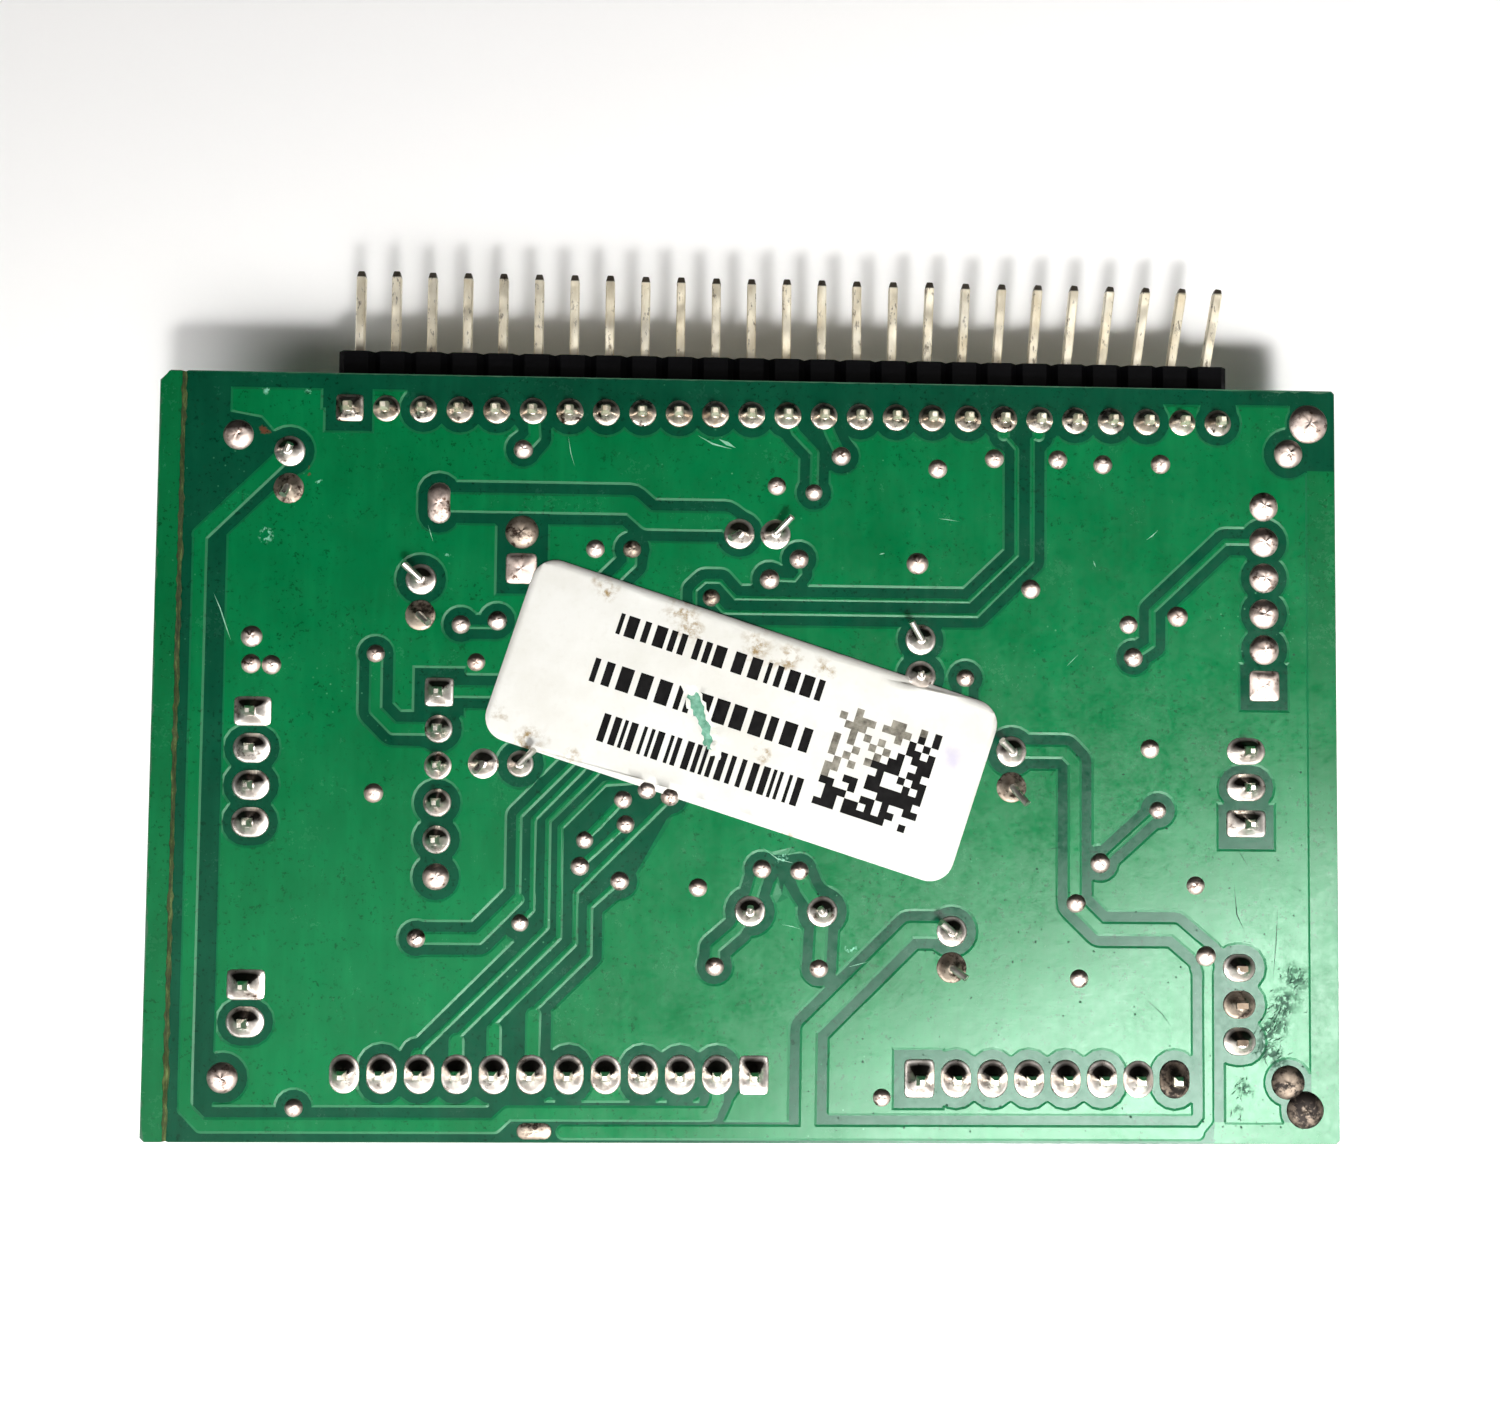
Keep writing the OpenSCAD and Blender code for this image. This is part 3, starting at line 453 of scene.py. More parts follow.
def shrink(poly, r):
    """A polygon moved inwards by r (counter-clockwise order)."""
    pts = [Vector(p) for p in poly]
    out = []
    for k, p in enumerate(pts):
        d0 = (p - pts[k - 1]).normalized()
        d1 = (pts[(k + 1) % len(pts)] - p).normalized()
        n = Vector((-d0.y, d0.x)) + Vector((-d1.y, d1.x))
        n = n/max(n.length_squared, 0.3)*2
        out.append((p.x + n.x*r, p.y + n.y*r))
    return out


def triangulate(loops, points=()):
    """Triangles over the whole plane figure, with the loops' sides among their edges."""
    verts, edges = [], []
    for loop in loops:
        n = len(verts)
        verts += [Vector(q) for q in loop]
        edges += [(n + k, n + (k + 1) % len(loop)) for k in range(len(loop))]
    verts += [Vector(q) for q in points]
    v, _, f, *_ = delaunay_2d_cdt(verts, edges, [], 0, 1e-4, False)
    return np.array([tuple(q) for q in v]), np.array([tuple(t) for t in f if len(t) == 3])


def closed_sheet(xy, tris, heights, floor_z):
    """A sheet with the given heights, closed below by a flat underside."""
    verts = [at(x, y, z) for (x, y), z in zip(xy, heights)]
    faces = [tuple(t) for t in tris]
    sides = dict.fromkeys((t[k], t[(k + 1) % 3]) for t in faces for k in range(3))
    rim = [(a, b) for a, b in sides if (b, a) not in sides]
    low = {}
    for a, b in rim:
        for k in (a, b):
            if k not in low:
                low[k] = len(verts)
                verts.append(at(*xy[k], floor_z))
        faces.append((b, a, low[a], low[b]))
    nxt = {low[a]: low[b] for a, b in rim}
    while nxt:
        start, cur = next(iter(nxt.items()))
        del nxt[start]
        loop = [start]
        while cur != start and cur in nxt:
            loop.append(cur)
            cur = nxt.pop(cur)
        faces.append(tuple(loop[::-1]))
    return verts, faces


# ---- copper layout, board-centred mm
PITCH = 2.54
HEADER = [(-28.15 + PITCH*i, 24.0) for i in range(25)]

# traces: width, clearance, points
TRACES = [
    (1.2, 0.65, [(-32.2, 21), (-38.2, 15)]),
    (1.1, 1.2, [(-38.2, 15), (-38.2, -24.2)]),
    (1.1, 0.68, [(-38.2, -24.2), (-37.1, -25.3), (-17.3, -25.3), (-16.4, -24.45)]),
    (1.1, 0.18, [(-16.4, -24.45), (-2.6, -24.45)]),
    (1.0, 0.5, [(-2.6, -24.45), (-2.15, -23.5), (-2.15, -21.8)]),
    (1.45, 0.7, [(-21.85, 17.5), (-8.6, 17.5), (-7.4, 16.45), (-2, 16.45), (-1, 15.7)]),
    (0.75, 0.68, [(-8.45, 14.4), (-8.45, 13.4), (-10.5, 11.35)]),
    (0.35, 0.68, [(17.57, 23), (18.5, 21.9), (18.5, 14.4), (15.1, 11.1), (-1.2, 11.1), (-2.25, 12.25),
                  (-3.35, 12.25), (-4.05, 11.6), (-4.05, 10)]),
    (0.35, 0.68, [(20.1, 23), (19.6, 22.6), (19.6, 14), (15.7, 10.1), (-2, 10.1), (-2.9, 11.1)]),
    (0.9, 0.6, [(17.57, 24), (17.57, 22.9)]),
    (0.9, 0.6, [(20.1, 24), (20.05, 22.9)]),
    (0.65, 0.68, [(2.33, 24), (2.9, 22.8), (4.25, 21.4), (4.2, 18.6)]),
    (0.8, 0.68, [(4.87, 24), (5.3, 22.8), (6.1, 21.2)]),
    (0.9, 0.68, [(-15.45, 24), (-15.3, 22.2), (-16.1, 21.3)]),
    (0.3, 0.68, [(3.2, 13.9), (3.3, 12.9), (2.9, 12.4), (1.15, 12.45)]),
    (0.3, 0.68, [(-20.2, 8.85), (-17.7, 8.85)]),
    (0.95, 0.68, [(-25.95, 6.9), (-25.95, 3), (-24.7, 1.75), (-21.6, 1.75)]),
    (0.9, 0.68, [(-21.6, 4.35), (-15, 4.35)]),
    (0.5, 0.68, [(14.9, 5.7), (14.9, 3)]),
    (1.0, 0.68, [(18.15, 0.62), (21.9, 0.62), (22.6, -0.1), (22.6, -9.9), (24.4, -11.65), (29.6, -11.65),
                 (31.8, -13.5), (31.95, -14.3)]),
    (0.85, 0.65, [(31.95, -14.3), (31.95, -24.8), (31.2, -25.7)]),
    (1.1, 0.62, [(31.2, -25.7), (4.3, -25.7)]),
    (1.1, 0.14, [(4.3, -25.7), (-12.6, -25.7)]),
    (0.4, 0.68, [(28.45, -3.4), (24.4, -7.1)]),
    (1.25, 0.66, [(14, -11.8), (11.1, -11.8), (4.15, -18.7), (4.1, -25.5)]),
    (0.44, 0.62, [(-12.3, -0.5), (-15.95, -4.2), (-15.95, -9.9)]),
    (0.9, 0.66, [(-15.95, -9.9), (-18.6, -12.6), (-22.85, -12.6)]),
    (0.44, 0.62, [(-11.6, -0.9), (-14.95, -4.4), (-14.95, -10.6), (-15.8, -11.5)]),
    (0.44, 0.62, [(-10.6, -1.1), (-13.95, -4.5), (-13.95, -11.8), (-22.3, -20.2), (-22.47, -21.8)]),
    (0.95, 0.66, [(-22.6, -20.5), (-22.55, -21.8)]),
    (0.44, 0.62, [(-8, -1.75), (-10.1, -1.9), (-13.1, -4.95), (-13.1, -12.5), (-19.6, -19.0),
                  (-19.95, -19.4)]),
    (1.1, 0.66, [(-19.97, -19.55), (-19.97, -21.8)]),
    (0.44, 0.62, [(-5.6, -2.9), (-12, -9.4), (-12, -12.9), (-17.4, -18.3)]),
    (1.05, 0.66, [(-17.42, -18.75), (-17.42, -21.8)]),
    (0.44, 0.62, [(-9, -8.6), (-11, -10.4), (-11, -13.7), (-14.4, -17.1), (-14.8, -17.5)]),
    (1.1, 0.66, [(-14.77, -17.75), (-14.77, -21.8)]),
    (0.6, 0.66, [(-11.45, -5.8), (-8.85, -3)]),
    (0.5, 0.66, [(-11.75, -7.6), (-8.65, -4.7)]),
    (0.7, 0.68, [(-0.05, -10.6), (0.8, -7.7)]),
    (0.75, 0.68, [(-0.05, -10.6), (-0.9, -11.9), (-2.4, -13.2), (-2.4, -14.4)]),
    (1.0, 0.68, [(3.4, -7.8), (3.9, -9), (5, -10.6), (4.8, -14.5)]),
    (0.5, 0.68, [(36.05, 15.56), (33.3, 15.55), (28.1, 10.6), (28.1, 8.2), (26.75, 7.3)]),
]

# rings: centre line of a pad, radius of the mask-only ring round it
RINGS = [([p], 1.6) for i, p in enumerate(HEADER) if i not in (0, 1, 23)]
# other rows: number of pads, first pad, way of the row, half a pad's centre line, radius, pads without a ring
for count, (x0, y0), (right, up), (dx, dy), r, without in (
        (12, (-27.55, -21.8), (1, 0), (0, 0.42), 1.62, (0, 7, 11)),
        (8, (11.8, -22.0), (1, 0), (0, 0.35), 1.66, (0, 6)),
        (4, (-34.3, 2.85), (0, -1), (0.3, 0), 1.6, (0,)),
        (2, (-34.3, -15.8), (0, -1), (0.3, 0), 1.6, (0,)),
        (3, (34.7, 0.8), (0, -1), (0.4, 0), 1.55, (0, 2)),
        (6, (-21.6, 4.3), (0, -1), (0, 0), 1.6, (0, 2)),
        (6, (36.05, 18.1), (0, -1), (0, 0), 1.66, (0, 5)),
        (3, (34.15, -14.3), (0, -1), (0.2, 0), 1.62, ())):
    for i in range(count):
        x, y = x0 + PITCH*i*right, y0 + PITCH*i*up
        line = [(x - dx, y - dy), (x + dx, y + dy)] if dx or dy else [(x, y)]
        if i not in without:
            RINGS.append((line, r))
RINGS += [([p], r) for p, r in (
    ((-32.2, 20.9), 1.7), ((-23, 12.1), 1.72), ((-1, 15.6), 1.62), ((11.75, 8.35), 1.62), ((11.75, 5.8), 1.7),
    ((18.15, 0.6), 1.72), ((14, -11.9), 1.72), ((-15.95, -0.6), 1.62), ((0, -10.6), 1.72), ((5, -10.6), 1.72),
    ((-35.75, 22), 1.45), ((-35.75, -22.1), 1.7), ((37.85, 21.9), 1.75), ((37.55, -22.2), 1.6),
    ((38.75, -24.1), 1.7), ((39.3, 24.05), 1.55))]
RINGS += [([(-21.85, 18.1), (-21.85, 16.8)], 1.45)]
RINGS += [([p], 1.22) for p in (
    (-26, 6.9), (-20.2, 9), (-17.7, 9.3), (-16.1, 21.3), (-8.45, 14.4), (-2.9, 11.1), (4.2, 18.6),
    (6.1, 21.2), (3.2, 13.9), (1.15, 12.45), (14.9, 5.7), (26.75, 7.3), (-8.85, -3), (-8.65, -4.7),
    (-11.45, -5.8), (-11.75, -7.6), (-9, -8.6), (-7.2, -2.3), (-5.6, -2.75), (0.8, -7.7), (3.4, -7.8),
    (28.45, -3.4), (24.4, -7.1), (22.7, -9.9), (-22.85, -12.6), (-30.9, -24.1), (-15.8, -11.5),
    (-2.4, -14.4), (4.8, -14.5), (31.8, -13.5))]


def rect(x0, x1, y0, y1):
    return [(x0, y0), (x1, y0), (x1, y1), (x0, y1)]


# places kept free of copper
KEEP_OUT = [
    rect(-29.8, -26.6, 22.4, 26),
    rect(-17.8, -14.3, 11.2, 16.8),
    rect(34.35, 37.7, 3.7, 6.9),
    rect(32.75, 36.65, -6.05, -2.95),
    rect(10.05, 13.4, -24, -20.05),
    rect(-23.3, -19.9, 2.7, 5.95),
    [(1.6, -6.7), (2.7, -6.7), (2.2, -9.4)],
    [(-16, -4), (-12.6, -0.8), (-5.6, -1.9), (-5.2, -3.2), (-8.2, -8.6), (-11.2, -10.4), (-11, -13.6),
     (-13.6, -16.6), (-19.6, -19.4), (-22.9, -20.6), (-14.2, -11.9), (-15.6, -10.6)],
    [(-22.5, -20.5), (-14.2, -17), (-14.3, -22), (-22.4, -22)],
]
# ground plane under the mask
POUR = [(-36.4, -25.1), (3.3, -25.1), (39.2, -25.1), (39.2, 20.75), (38, 21), (38, 25.35), (34.1, 25.35),
        (34.3, 24), (31.3, 24), (31.6, 25.3), (28.9, 25.3), (29.2, 24), (-24.2, 24), (-24.2, 25.35),
        (-26.6, 25.35), (-26.6, 24), (-30, 24), (-30, 25.35), (-36.35, 25.35), (-36.35, 23.6), (-34.2, 23.2),
        (-33.4, 22.3), (-32.2, 21), (-36.4, 16.8)]
# scratches: widest, points
SCRATCHES = [
    (0.07, [(-37.2, 11), (-36.7, 9.9), (-36.35, 8.9), (-35.9, 7.7)]),
    (0.12, [(-4.0, 22.5), (-2.9, 21.9), (-1.5, 21.55)]),
    (0.05, [(-13, 22.3), (-12.8, 21.1), (-12.5, 20.1)]), (0.06, [(28.5, 16.3), (28.1, 15.9), (27.6, 15.55)]),
    (0.05, [(2.2, -11.5), (2.9, -11.62), (3.5, -11.8)]), (0.06, [(23.9, 14.1), (24.1, 13.6)]),
    (0.045, [(12.9, 16.9), (13.7, 16.82), (14.5, 16.7)]), (0.09, [(8.8, 14.3), (9.2, 14.4)]),
    (0.07, [(0.8, -6.2), (1.9, -7.0), (3.1, -7.3)]), (0.26, [(-2.5, 22.25), (-1.3, 21.65)]),
    (0.05, [(-22.6, 15.9), (-22.2, 14.7)]), (0.05, [(6.8, -14.4), (8.3, -14.0)]),
    (0.045, [(22.0, 6.6), (22.9, 7.5)]),
]
# dark hairlines, likewise
HAIRLINES = [
    (0.08, [(33.8, -8.3), (34.0, -10.6), (34.6, -11.9)]),
    (0.06, [(36.9, -9.8), (36.75, -12.6), (36.5, -15.3)]),
    (0.05, [(27.4, -16.3), (28.7, -17.5), (29.6, -18.7)]), (0.05, [(34.0, -5.9), (34.9, -7.4)]),
    (0.045, [(20.6, -6.2), (21.7, -6.0)]),
]


def sliver(points, width):
    """A scratch: a line that is widest in the middle and runs out to nothing at both ends."""
    pts = [Vector(q) for q in points]
    middle = [(pts[k], (pts[k + 1] - pts[k - 1]).normalized()) for k in range(1, len(pts) - 1)]
    if not middle:
        middle = [((pts[0] + pts[1])/2, (pts[1] - pts[0]).normalized())]
    left = [(m.x - d.y*width/2, m.y + d.x*width/2) for m, d in middle]
    right = [(m.x + d.y*width/2, m.y - d.x*width/2) for m, d in middle]
    return [tuple(pts[0])] + right + [tuple(pts[-1])] + left[::-1]


def copper_depth(p):
    """Signed distance to the copper's edge, negative over copper."""
    trace = np.full(len(p), np.inf)
    free = polygon_distance(p, POUR)
    for width, clear, pts in TRACES:
        d = segments_distance(p, pts) - width/2
        trace = np.minimum(trace, d)
        free = np.maximum(free, clear - d)
    for pts, r in RINGS:
        free = np.maximum(free, r - segments_distance(p, pts))
    for poly in KEEP_OUT:
        free = np.maximum(free, -polygon_distance(p, poly))
    return np.minimum(trace, free)


def dirt_marks():
    """Dark specks over the worn lower right of the solder face, and fine hatching beside the blades."""
    rng = np.random.default_rng(21)
    marks = []
    for _ in range(300):
        x, y = 38.6 - 36*rng.random()**1.4, -25.6 + 26*rng.random()**1.3
        r = 0.035 + 0.075*rng.random()**2.5
        turn, flat = math.pi*rng.random(), 0.45 + 0.5*rng.random()
        points = []
        for k in range(6):
            a, q = 2*math.pi*k/6, r*(0.75 + 0.5*rng.random())
            u, v = q*math.cos(a), q*flat*math.sin(a)
            points.append((x + u*math.cos(turn) - v*math.sin(turn), y + u*math.sin(turn) + v*math.cos(turn)))
        marks.append(points)
    # x, y, spread, number of strokes
    for x, y, r, count in ((38.0, -15.4, 0.9, 14), (37.2, -17.0, 1.0, 20), (36.6, -18.6, 0.9, 22),
                           (36.3, -20.0, 0.9, 16), (34.5, -22.8, 0.7, 9), (33.9, -24.3, 0.5, 5)):
        for _ in range(count):
            cx, cy = x + r*rng.normal()*0.6, y + r*rng.normal()*0.6
            turn, half = math.radians(60 + 26*rng.normal()), 0.12 + 0.3*rng.random()
            dx, dy = half*math.cos(turn), half*math.sin(turn)
            marks.append(sliver([(cx - dx, cy - dy), (cx + 0.05*rng.normal(), cy + 0.05*rng.normal()),
                                 (cx + dx, cy + dy)], 0.05 + 0.06*rng.random()))
    return marks


GROOVE = (-39.68, -39.42)           # the groove's two lips, x
RAIL_END = -40.6                    # where the rail's left edge leaves its rear edge, x
STRIP_X, STRIP_TOP = 39.2, 20.7     # the strip without copper at the right edge
BORDER = 0.06                       # from the mask's border to the board's edge
# places in the list of the mask's materials
COPPER, BARE, SLOPE, SCRATCHED, RAIL, DARK_LINE = range(6)


def build_mask():
    """The lacquer as one closed relief over copper, bare laminate and the rail left of the groove."""
    loops = []
    for width, clear, pts in TRACES:
        for r in (width/2 - min(WALL, width*0.4), width/2, width/2 + clear, width/2 + clear + WALL):
            loops.append(outline(pts, r))
    for pts, r in RINGS:
        loops += [outline(pts, r), outline(pts, r + WALL)]
    for poly in KEEP_OUT:
        loops += [poly, shrink(poly, -WALL)]
    loops += [POUR, shrink(POUR, WALL), rect(39.21, 42, -27, STRIP_TOP)]
    scratch_loops = [sliver(pts, w) for w, pts in SCRATCHES + HAIRLINES] + dirt_marks()
    rng = np.random.default_rng(7)
    near, far = -HALF_D + BORDER, HALF_D - BORDER

    def torn(x, y0, y1, depth):
        """Points along x from y0 to y1, nibbled by up to depth."""
        n = int(abs(y1 - y0)/0.4)
        return [(x + depth*rng.random()**3, y0 + (y1 - y0)*k/n) for k in range(1, n)]

    main = [(GROOVE[1], near), (HALF_W - 0.3, near), (HALF_W - BORDER, -HALF_D + 0.3),
            (HALF_W - BORDER, HALF_D - 0.25), (HALF_W - 0.25, far)]
    main += [(x, far - (0.2 if x > 33.5 else 0.05)*rng.random()**2)
             for x in np.arange(HALF_W - 0.6, -39, -0.45)]
    main += [(GROOVE[1], far)] + torn(GROOVE[1], far, near, 0.16)
    rail = [(GROOVE[0], near)] + torn(GROOVE[0], near, far, -0.12)
    rail += [(GROOVE[0], far), (RAIL_END, far)]
    y = HALF_D - 0.75
    while y > -HALF_D + 0.5:
        rail.append((-HALF_W + 0.05 + 0.16*rng.random()**2, y))
        y -= 0.25 + 0.5*rng.random()
    rail.append((-HALF_W + 0.3, near))
    xy, tris = triangulate(loops + scratch_loops + [main, rail])
    centre = xy[tris].mean(1)
    keep = (polygon_distance(centre, main) < 0) | (polygon_distance(centre, rail) < 0)
    tris, centre = tris[keep], centre[keep]
    used, inverse = np.unique(tris, return_inverse=True)
    xy, tris = xy[used], inverse.reshape(-1, 3)
    rise = np.clip(-copper_depth(xy)/WALL, 0, 1)
    rise = np.where(rise > 0.75, 1, np.where(rise < 0.25, 0, rise))     # no slivers beside the slopes
    heights = MASK_LOW + (MASK_HIGH - MASK_LOW)*rise
    low, high = rise[tris].min(1), rise[tris].max(1)
    kind = np.where(low > 0.97, COPPER, np.where(high < 0.03, BARE, SLOPE))
    cx, cy = centre.T
    no_copper = (cx < GROOVE[0]) | ((cx > STRIP_X) & (cy < STRIP_TOP)) | ((cx > 32.4) & (cy < -24.95))
    kind[no_copper & (kind == BARE)] = RAIL
    for k, loop in enumerate(scratch_loops):
        kind[polygon_distance(centre, loop) < 0] = SCRATCHED if k < len(SCRATCHES) else DARK_LINE
    verts, faces = closed_sheet(xy, tris, heights, -0.02)
    piece("mask_relief", verts, faces, [MASK_COPPER, MASK_BARE, MASK_EDGE, SCRATCH, MASK_RAIL, HAIRLINE],
          list(kind) + [BARE]*(len(faces) - len(kind)), smooth=False)


build_mask()


# ---- solder joints
def islands(node):
    """The separate solids of a CAD node, as arrays of corner points in board-centred mm."""
    mesh = NODES[node].data
    co = np.empty(len(mesh.vertices)*3)
    mesh.vertices.foreach_get("co", co)
    co = co.reshape(-1, 3)
    keys, inverse = np.unique(np.round(co, 6), axis=0, return_inverse=True)
    inverse = inverse.ravel()
    parent = list(range(len(keys)))

    def root(k):
        while parent[k] != k:
            parent[k] = parent[parent[k]]
            k = parent[k]
        return k
    for e in mesh.edges:
        a, b = root(inverse[e.vertices[0]]), root(inverse[e.vertices[1]])
        if a != b:
            parent[a] = b
    label = np.array([root(k) for k in range(len(keys))])
    mm = (keys - (CX, CY, ZS))/MM
    return [mm[label == r] for r in np.unique(label)]


def lobes(island):
    """The footprints in an island, each (x, y, half length, half width, square, top):
    two domes that have run together are taken apart at their tops."""
    up = island[island[:, 2] > -0.001]
    high = up[:, 2].max()
    centres = np.unique(np.round(up[up[:, 2] > high - 0.006][:, :2], 2), axis=0)
    if len(centres) != 2:
        lo, hi = up[:, :2].min(0), up[:, :2].max(0)
        c, (a, b) = (lo + hi)/2, (hi - lo)/2
        corner = (np.abs((up[:, 0] - c[0])/a)*np.abs((up[:, 1] - c[1])/b)).max()
        return [(c[0], c[1], a, b, corner > 0.9, high)]
    foot = up[up[:, 2] < 0.02][:, :2]
    away = np.array([np.hypot(*(foot - c).T) for c in centres])
    return [(c[0], c[1], r, r, False, high) for k, c in enumerate(centres)
            for r in [float(away[k][away.argmin(0) == k].max())]]


def base_radius(theta, a, b, square):
    c, s = abs(math.cos(theta)), abs(math.sin(theta))
    if square:
        n = 9.0
        return ((c/a)**n + (s/b)**n)**(-1/n)
    if abs(a - b) < 0.06:
        return (a + b)/2
    r, along = min(a, b), abs(a - b)            # a stadium
    if a < b:
        c, s = s, c
    if s > 1e-9 and r*c/s <= along:
        return r/s
    return along*c + math.sqrt(max(r*r - (along*s)**2, 0))


def joint(verts, faces, footprint, top, height, dome, wobble, seed, segments=40, rings=13):
    """One joint over its CAD solid's footprint: a wetted cone round a lead, or a dome."""
    cx, cy, a, b, square, high = footprint
    if dome:
        height = min(height, high + 0.02)*(0.5 if square else 1)
    start = len(verts)
    for k in range(rings + 1):
        s = max(0.0, (k - 1)/(rings - 1))
        for j in range(segments):
            th = 2*math.pi*j/segments
            r0 = base_radius(th, a, b, square)
            n = noise.noise(Vector((math.cos(th)*1.3, math.sin(th)*1.3, seed*3.7 + s*1.1)))
            if dome:
                u = 1 - s
                r = r0*(u**0.85)*(1 + 0.02*n)
                z = height*(1 - u**2.4)**0.75 + height*wobble*n*s
            else:
                r = (top + (r0 - top)*(1 - s))*(1 + 0.06*n*s)
                z = 0.09 + (height - 0.09)*s**1.55*(1 + wobble*n)
            if k < 2:                   # the foot: an upright band from inside the board
                z = (-0.02, 0.03 if dome else 0.05)[k]
            if dome and k == rings:
                r = r0*0.02
            verts.append(at(cx + r*math.cos(th), cy + r*math.sin(th), z))
    for k in range(rings):
        for j in range(segments):
            p, q = start + k*segments + j, start + k*segments + (j + 1) % segments
            faces.append((p, q, q + segments, p + segments))
    last = start + rings*segments
    faces.append(tuple(range(last, last + segments)))
    faces.append(tuple(range(start + segments - 1, start - 1, -1)))


LEAN_AFTER = 14                     # the last straight pin, counted from 0
LEAN_MAX = 9.5                      # lean of the last pin, degrees


def build_header_pins():
    """Square pins bent at a right angle, edges broken, the free ends cut to a short taper."""
    half, broken = 0.32, 0.07
    section = []
    for sx, sy in ((1, 1), (-1, 1), (-1, -1), (1, -1)):
        pair = [(sx*half, sy*(half - broken)), (sx*(half - broken), sy*half)]
        section += pair if sx*sy > 0 else pair[::-1]
    strip_lo, strip_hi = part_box("header_strip")
    pins_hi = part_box("header_pins")[1]
    run_z = ((strip_lo.z + strip_hi.z)/2 - ZS)/MM
    front, tip = (strip_hi.y - CY)/MM, (pins_hi.y - CY)/MM - 0.02
    top = (pins_hi.z - ZS)/MM
    rng = np.random.default_rng(3)
    verts, faces = [], []
    for i, (x0, y0) in enumerate(HEADER):
        lean = math.radians(LEAN_MAX*max(0, i - LEAN_AFTER)/(len(HEADER) - 1 - LEAN_AFTER))
        bend = 0.55
        path = [((x0, y0, top), (0, 0, -1), 0.5), ((x0, y0, top - 0.28), (0, 0, -1), 0.86),
                ((x0, y0, top - 0.45), (0, 0, -1), 1), ((x0, y0, run_z + bend), (0, 0, -1), 1)]
        for k in (1, 2, 3):
            a = math.pi/2*k/4
            path.append(((x0, y0 + bend*(1 - math.cos(a)), run_z + bend*(1 - math.sin(a))),
                         (0, math.sin(a), -math.cos(a)), 1))
        path += [((x0, y0 + bend, run_z), (0, 1, 0), 1), ((x0, front, run_z), (0, 1, 0), 1)]
        sink = 0.03*(rng.random() - 0.5)
        d = (math.sin(lean), math.cos(lean), sink)
        length = (tip - front)/max(d[1], 0.5)*(0.995 + 0.005*rng.random())*math.cos(lean)
        for t, scale in ((0.35, 1), (length - 0.46, 1), (length - 0.4, 0.96), (length - 0.08, 0.74),
                         (length, 0.62)):
            path.append(((x0 + d[0]*t, front + d[1]*t, run_z + d[2]*t), d, scale))
        start = len(verts)
        for c, d, scale in path:
            along = Vector(d).normalized()
            side = Vector((along.y, -along.x, 0)).normalized() if along.y > 0.5 else Vector((1, 0, 0))
            up = side.cross(along)
            for u, v in section:
                verts.append(at(*(Vector(c) + side*u*scale + up*v*scale)))
        n = len(section)
        for k in range(len(path) - 1):
            for j in range(n):
                a, b = start + k*n + j, start + k*n + (j + 1) % n
                faces.append((a, b, b + n, a + n))
        faces.append(tuple(range(start + n - 1, start - 1, -1)))
        last = start + (len(path) - 1)*n
        faces.append(tuple(range(last, last + n)))
    obj = piece("header_pins_bent", verts, faces, [LOOKS["header_pins"]], smooth=False)
    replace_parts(obj, "header_pins")


build_header_pins()


# joints that never wetted well and stayed grey
DULL = [(14, -14.4), (-32.2, 18.3), (-23, 9.6), (18.15, -1.9), (-8.45, 14.4), (-16.1, 15.5), (34.15, -16.84),
        (-2.9, 11.1), (-14.6, -25.65)]
DARK = [(38.75, -24.1), (37.55, -22.2), (29.6, -22.05)]
# vias that the label's edge half covers: x, y, radius
UNDER_LABEL = [(-7.2, -2.3, 0.65), (-5.6, -2.75, 0.65)]


def solder(name, node, top, height, dome=False, wobble=0.12, finish=SOLDER, segments=40, rings=13):
    """Every joint of a CAD node in one piece; top is the radius at the height where the solder ends."""
    verts, faces, kinds = [], [], []
    for k, footprint in enumerate(f for island in islands(node) for f in lobes(island)):
        for x, y, r in UNDER_LABEL:
            if dome and math.hypot(footprint[0] - x, footprint[1] - y) < 0.5:
                footprint = (x, y, r, r, False, footprint[5])
        joint(verts, faces, footprint, top, height, dome, wobble, k + len(name), segments, rings)
        dull, dark = (any(math.hypot(footprint[0] - x, footprint[1] - y) < 0.4 for x, y in spots)
                      for spots in (DULL, DARK))
        kinds += [2 if dark else 1 if dull else 0]*(len(faces) - len(kinds))
    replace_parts(piece(name, verts, faces, [finish, SOLDER_DULL, SOLDER_DARK], kinds), node)


solder("header_joints", "solder_header", 0.34, 0.66, finish=SOLDER_FLUX)
solder("wafer_joints", "solder_wafers", 0.34, 0.72)
solder("lead_joints", "solder_leads", 0.3, 0.66)
solder("filled_pads", "solder_empty", 0.05, 0.42, dome=True, wobble=0.16, finish=SOLDER_DOME)
solder("via_domes", "solder_vias", 0.05, 0.36, dome=True, finish=SOLDER_DOME, segments=28, rings=9)


# ---- label
LABEL_X, LABEL_Y = -0.64, 2.56      # centre
LABEL_L, LABEL_W, LABEL_R = 34.0, 13.1, 1.7     # length, width, corner radius
COS, SIN = math.cos(math.radians(17.8)), math.sin(math.radians(17.8))    # of its turn, clockwise


def on_board(u, v):
    """From the label's own coordinates to the board's."""
    return (LABEL_X + u*COS + v*SIN, LABEL_Y - u*SIN + v*COS)


def on_label(x, y):
    x, y = x - LABEL_X, y - LABEL_Y
    return (x*COS - y*SIN, x*SIN + y*COS)


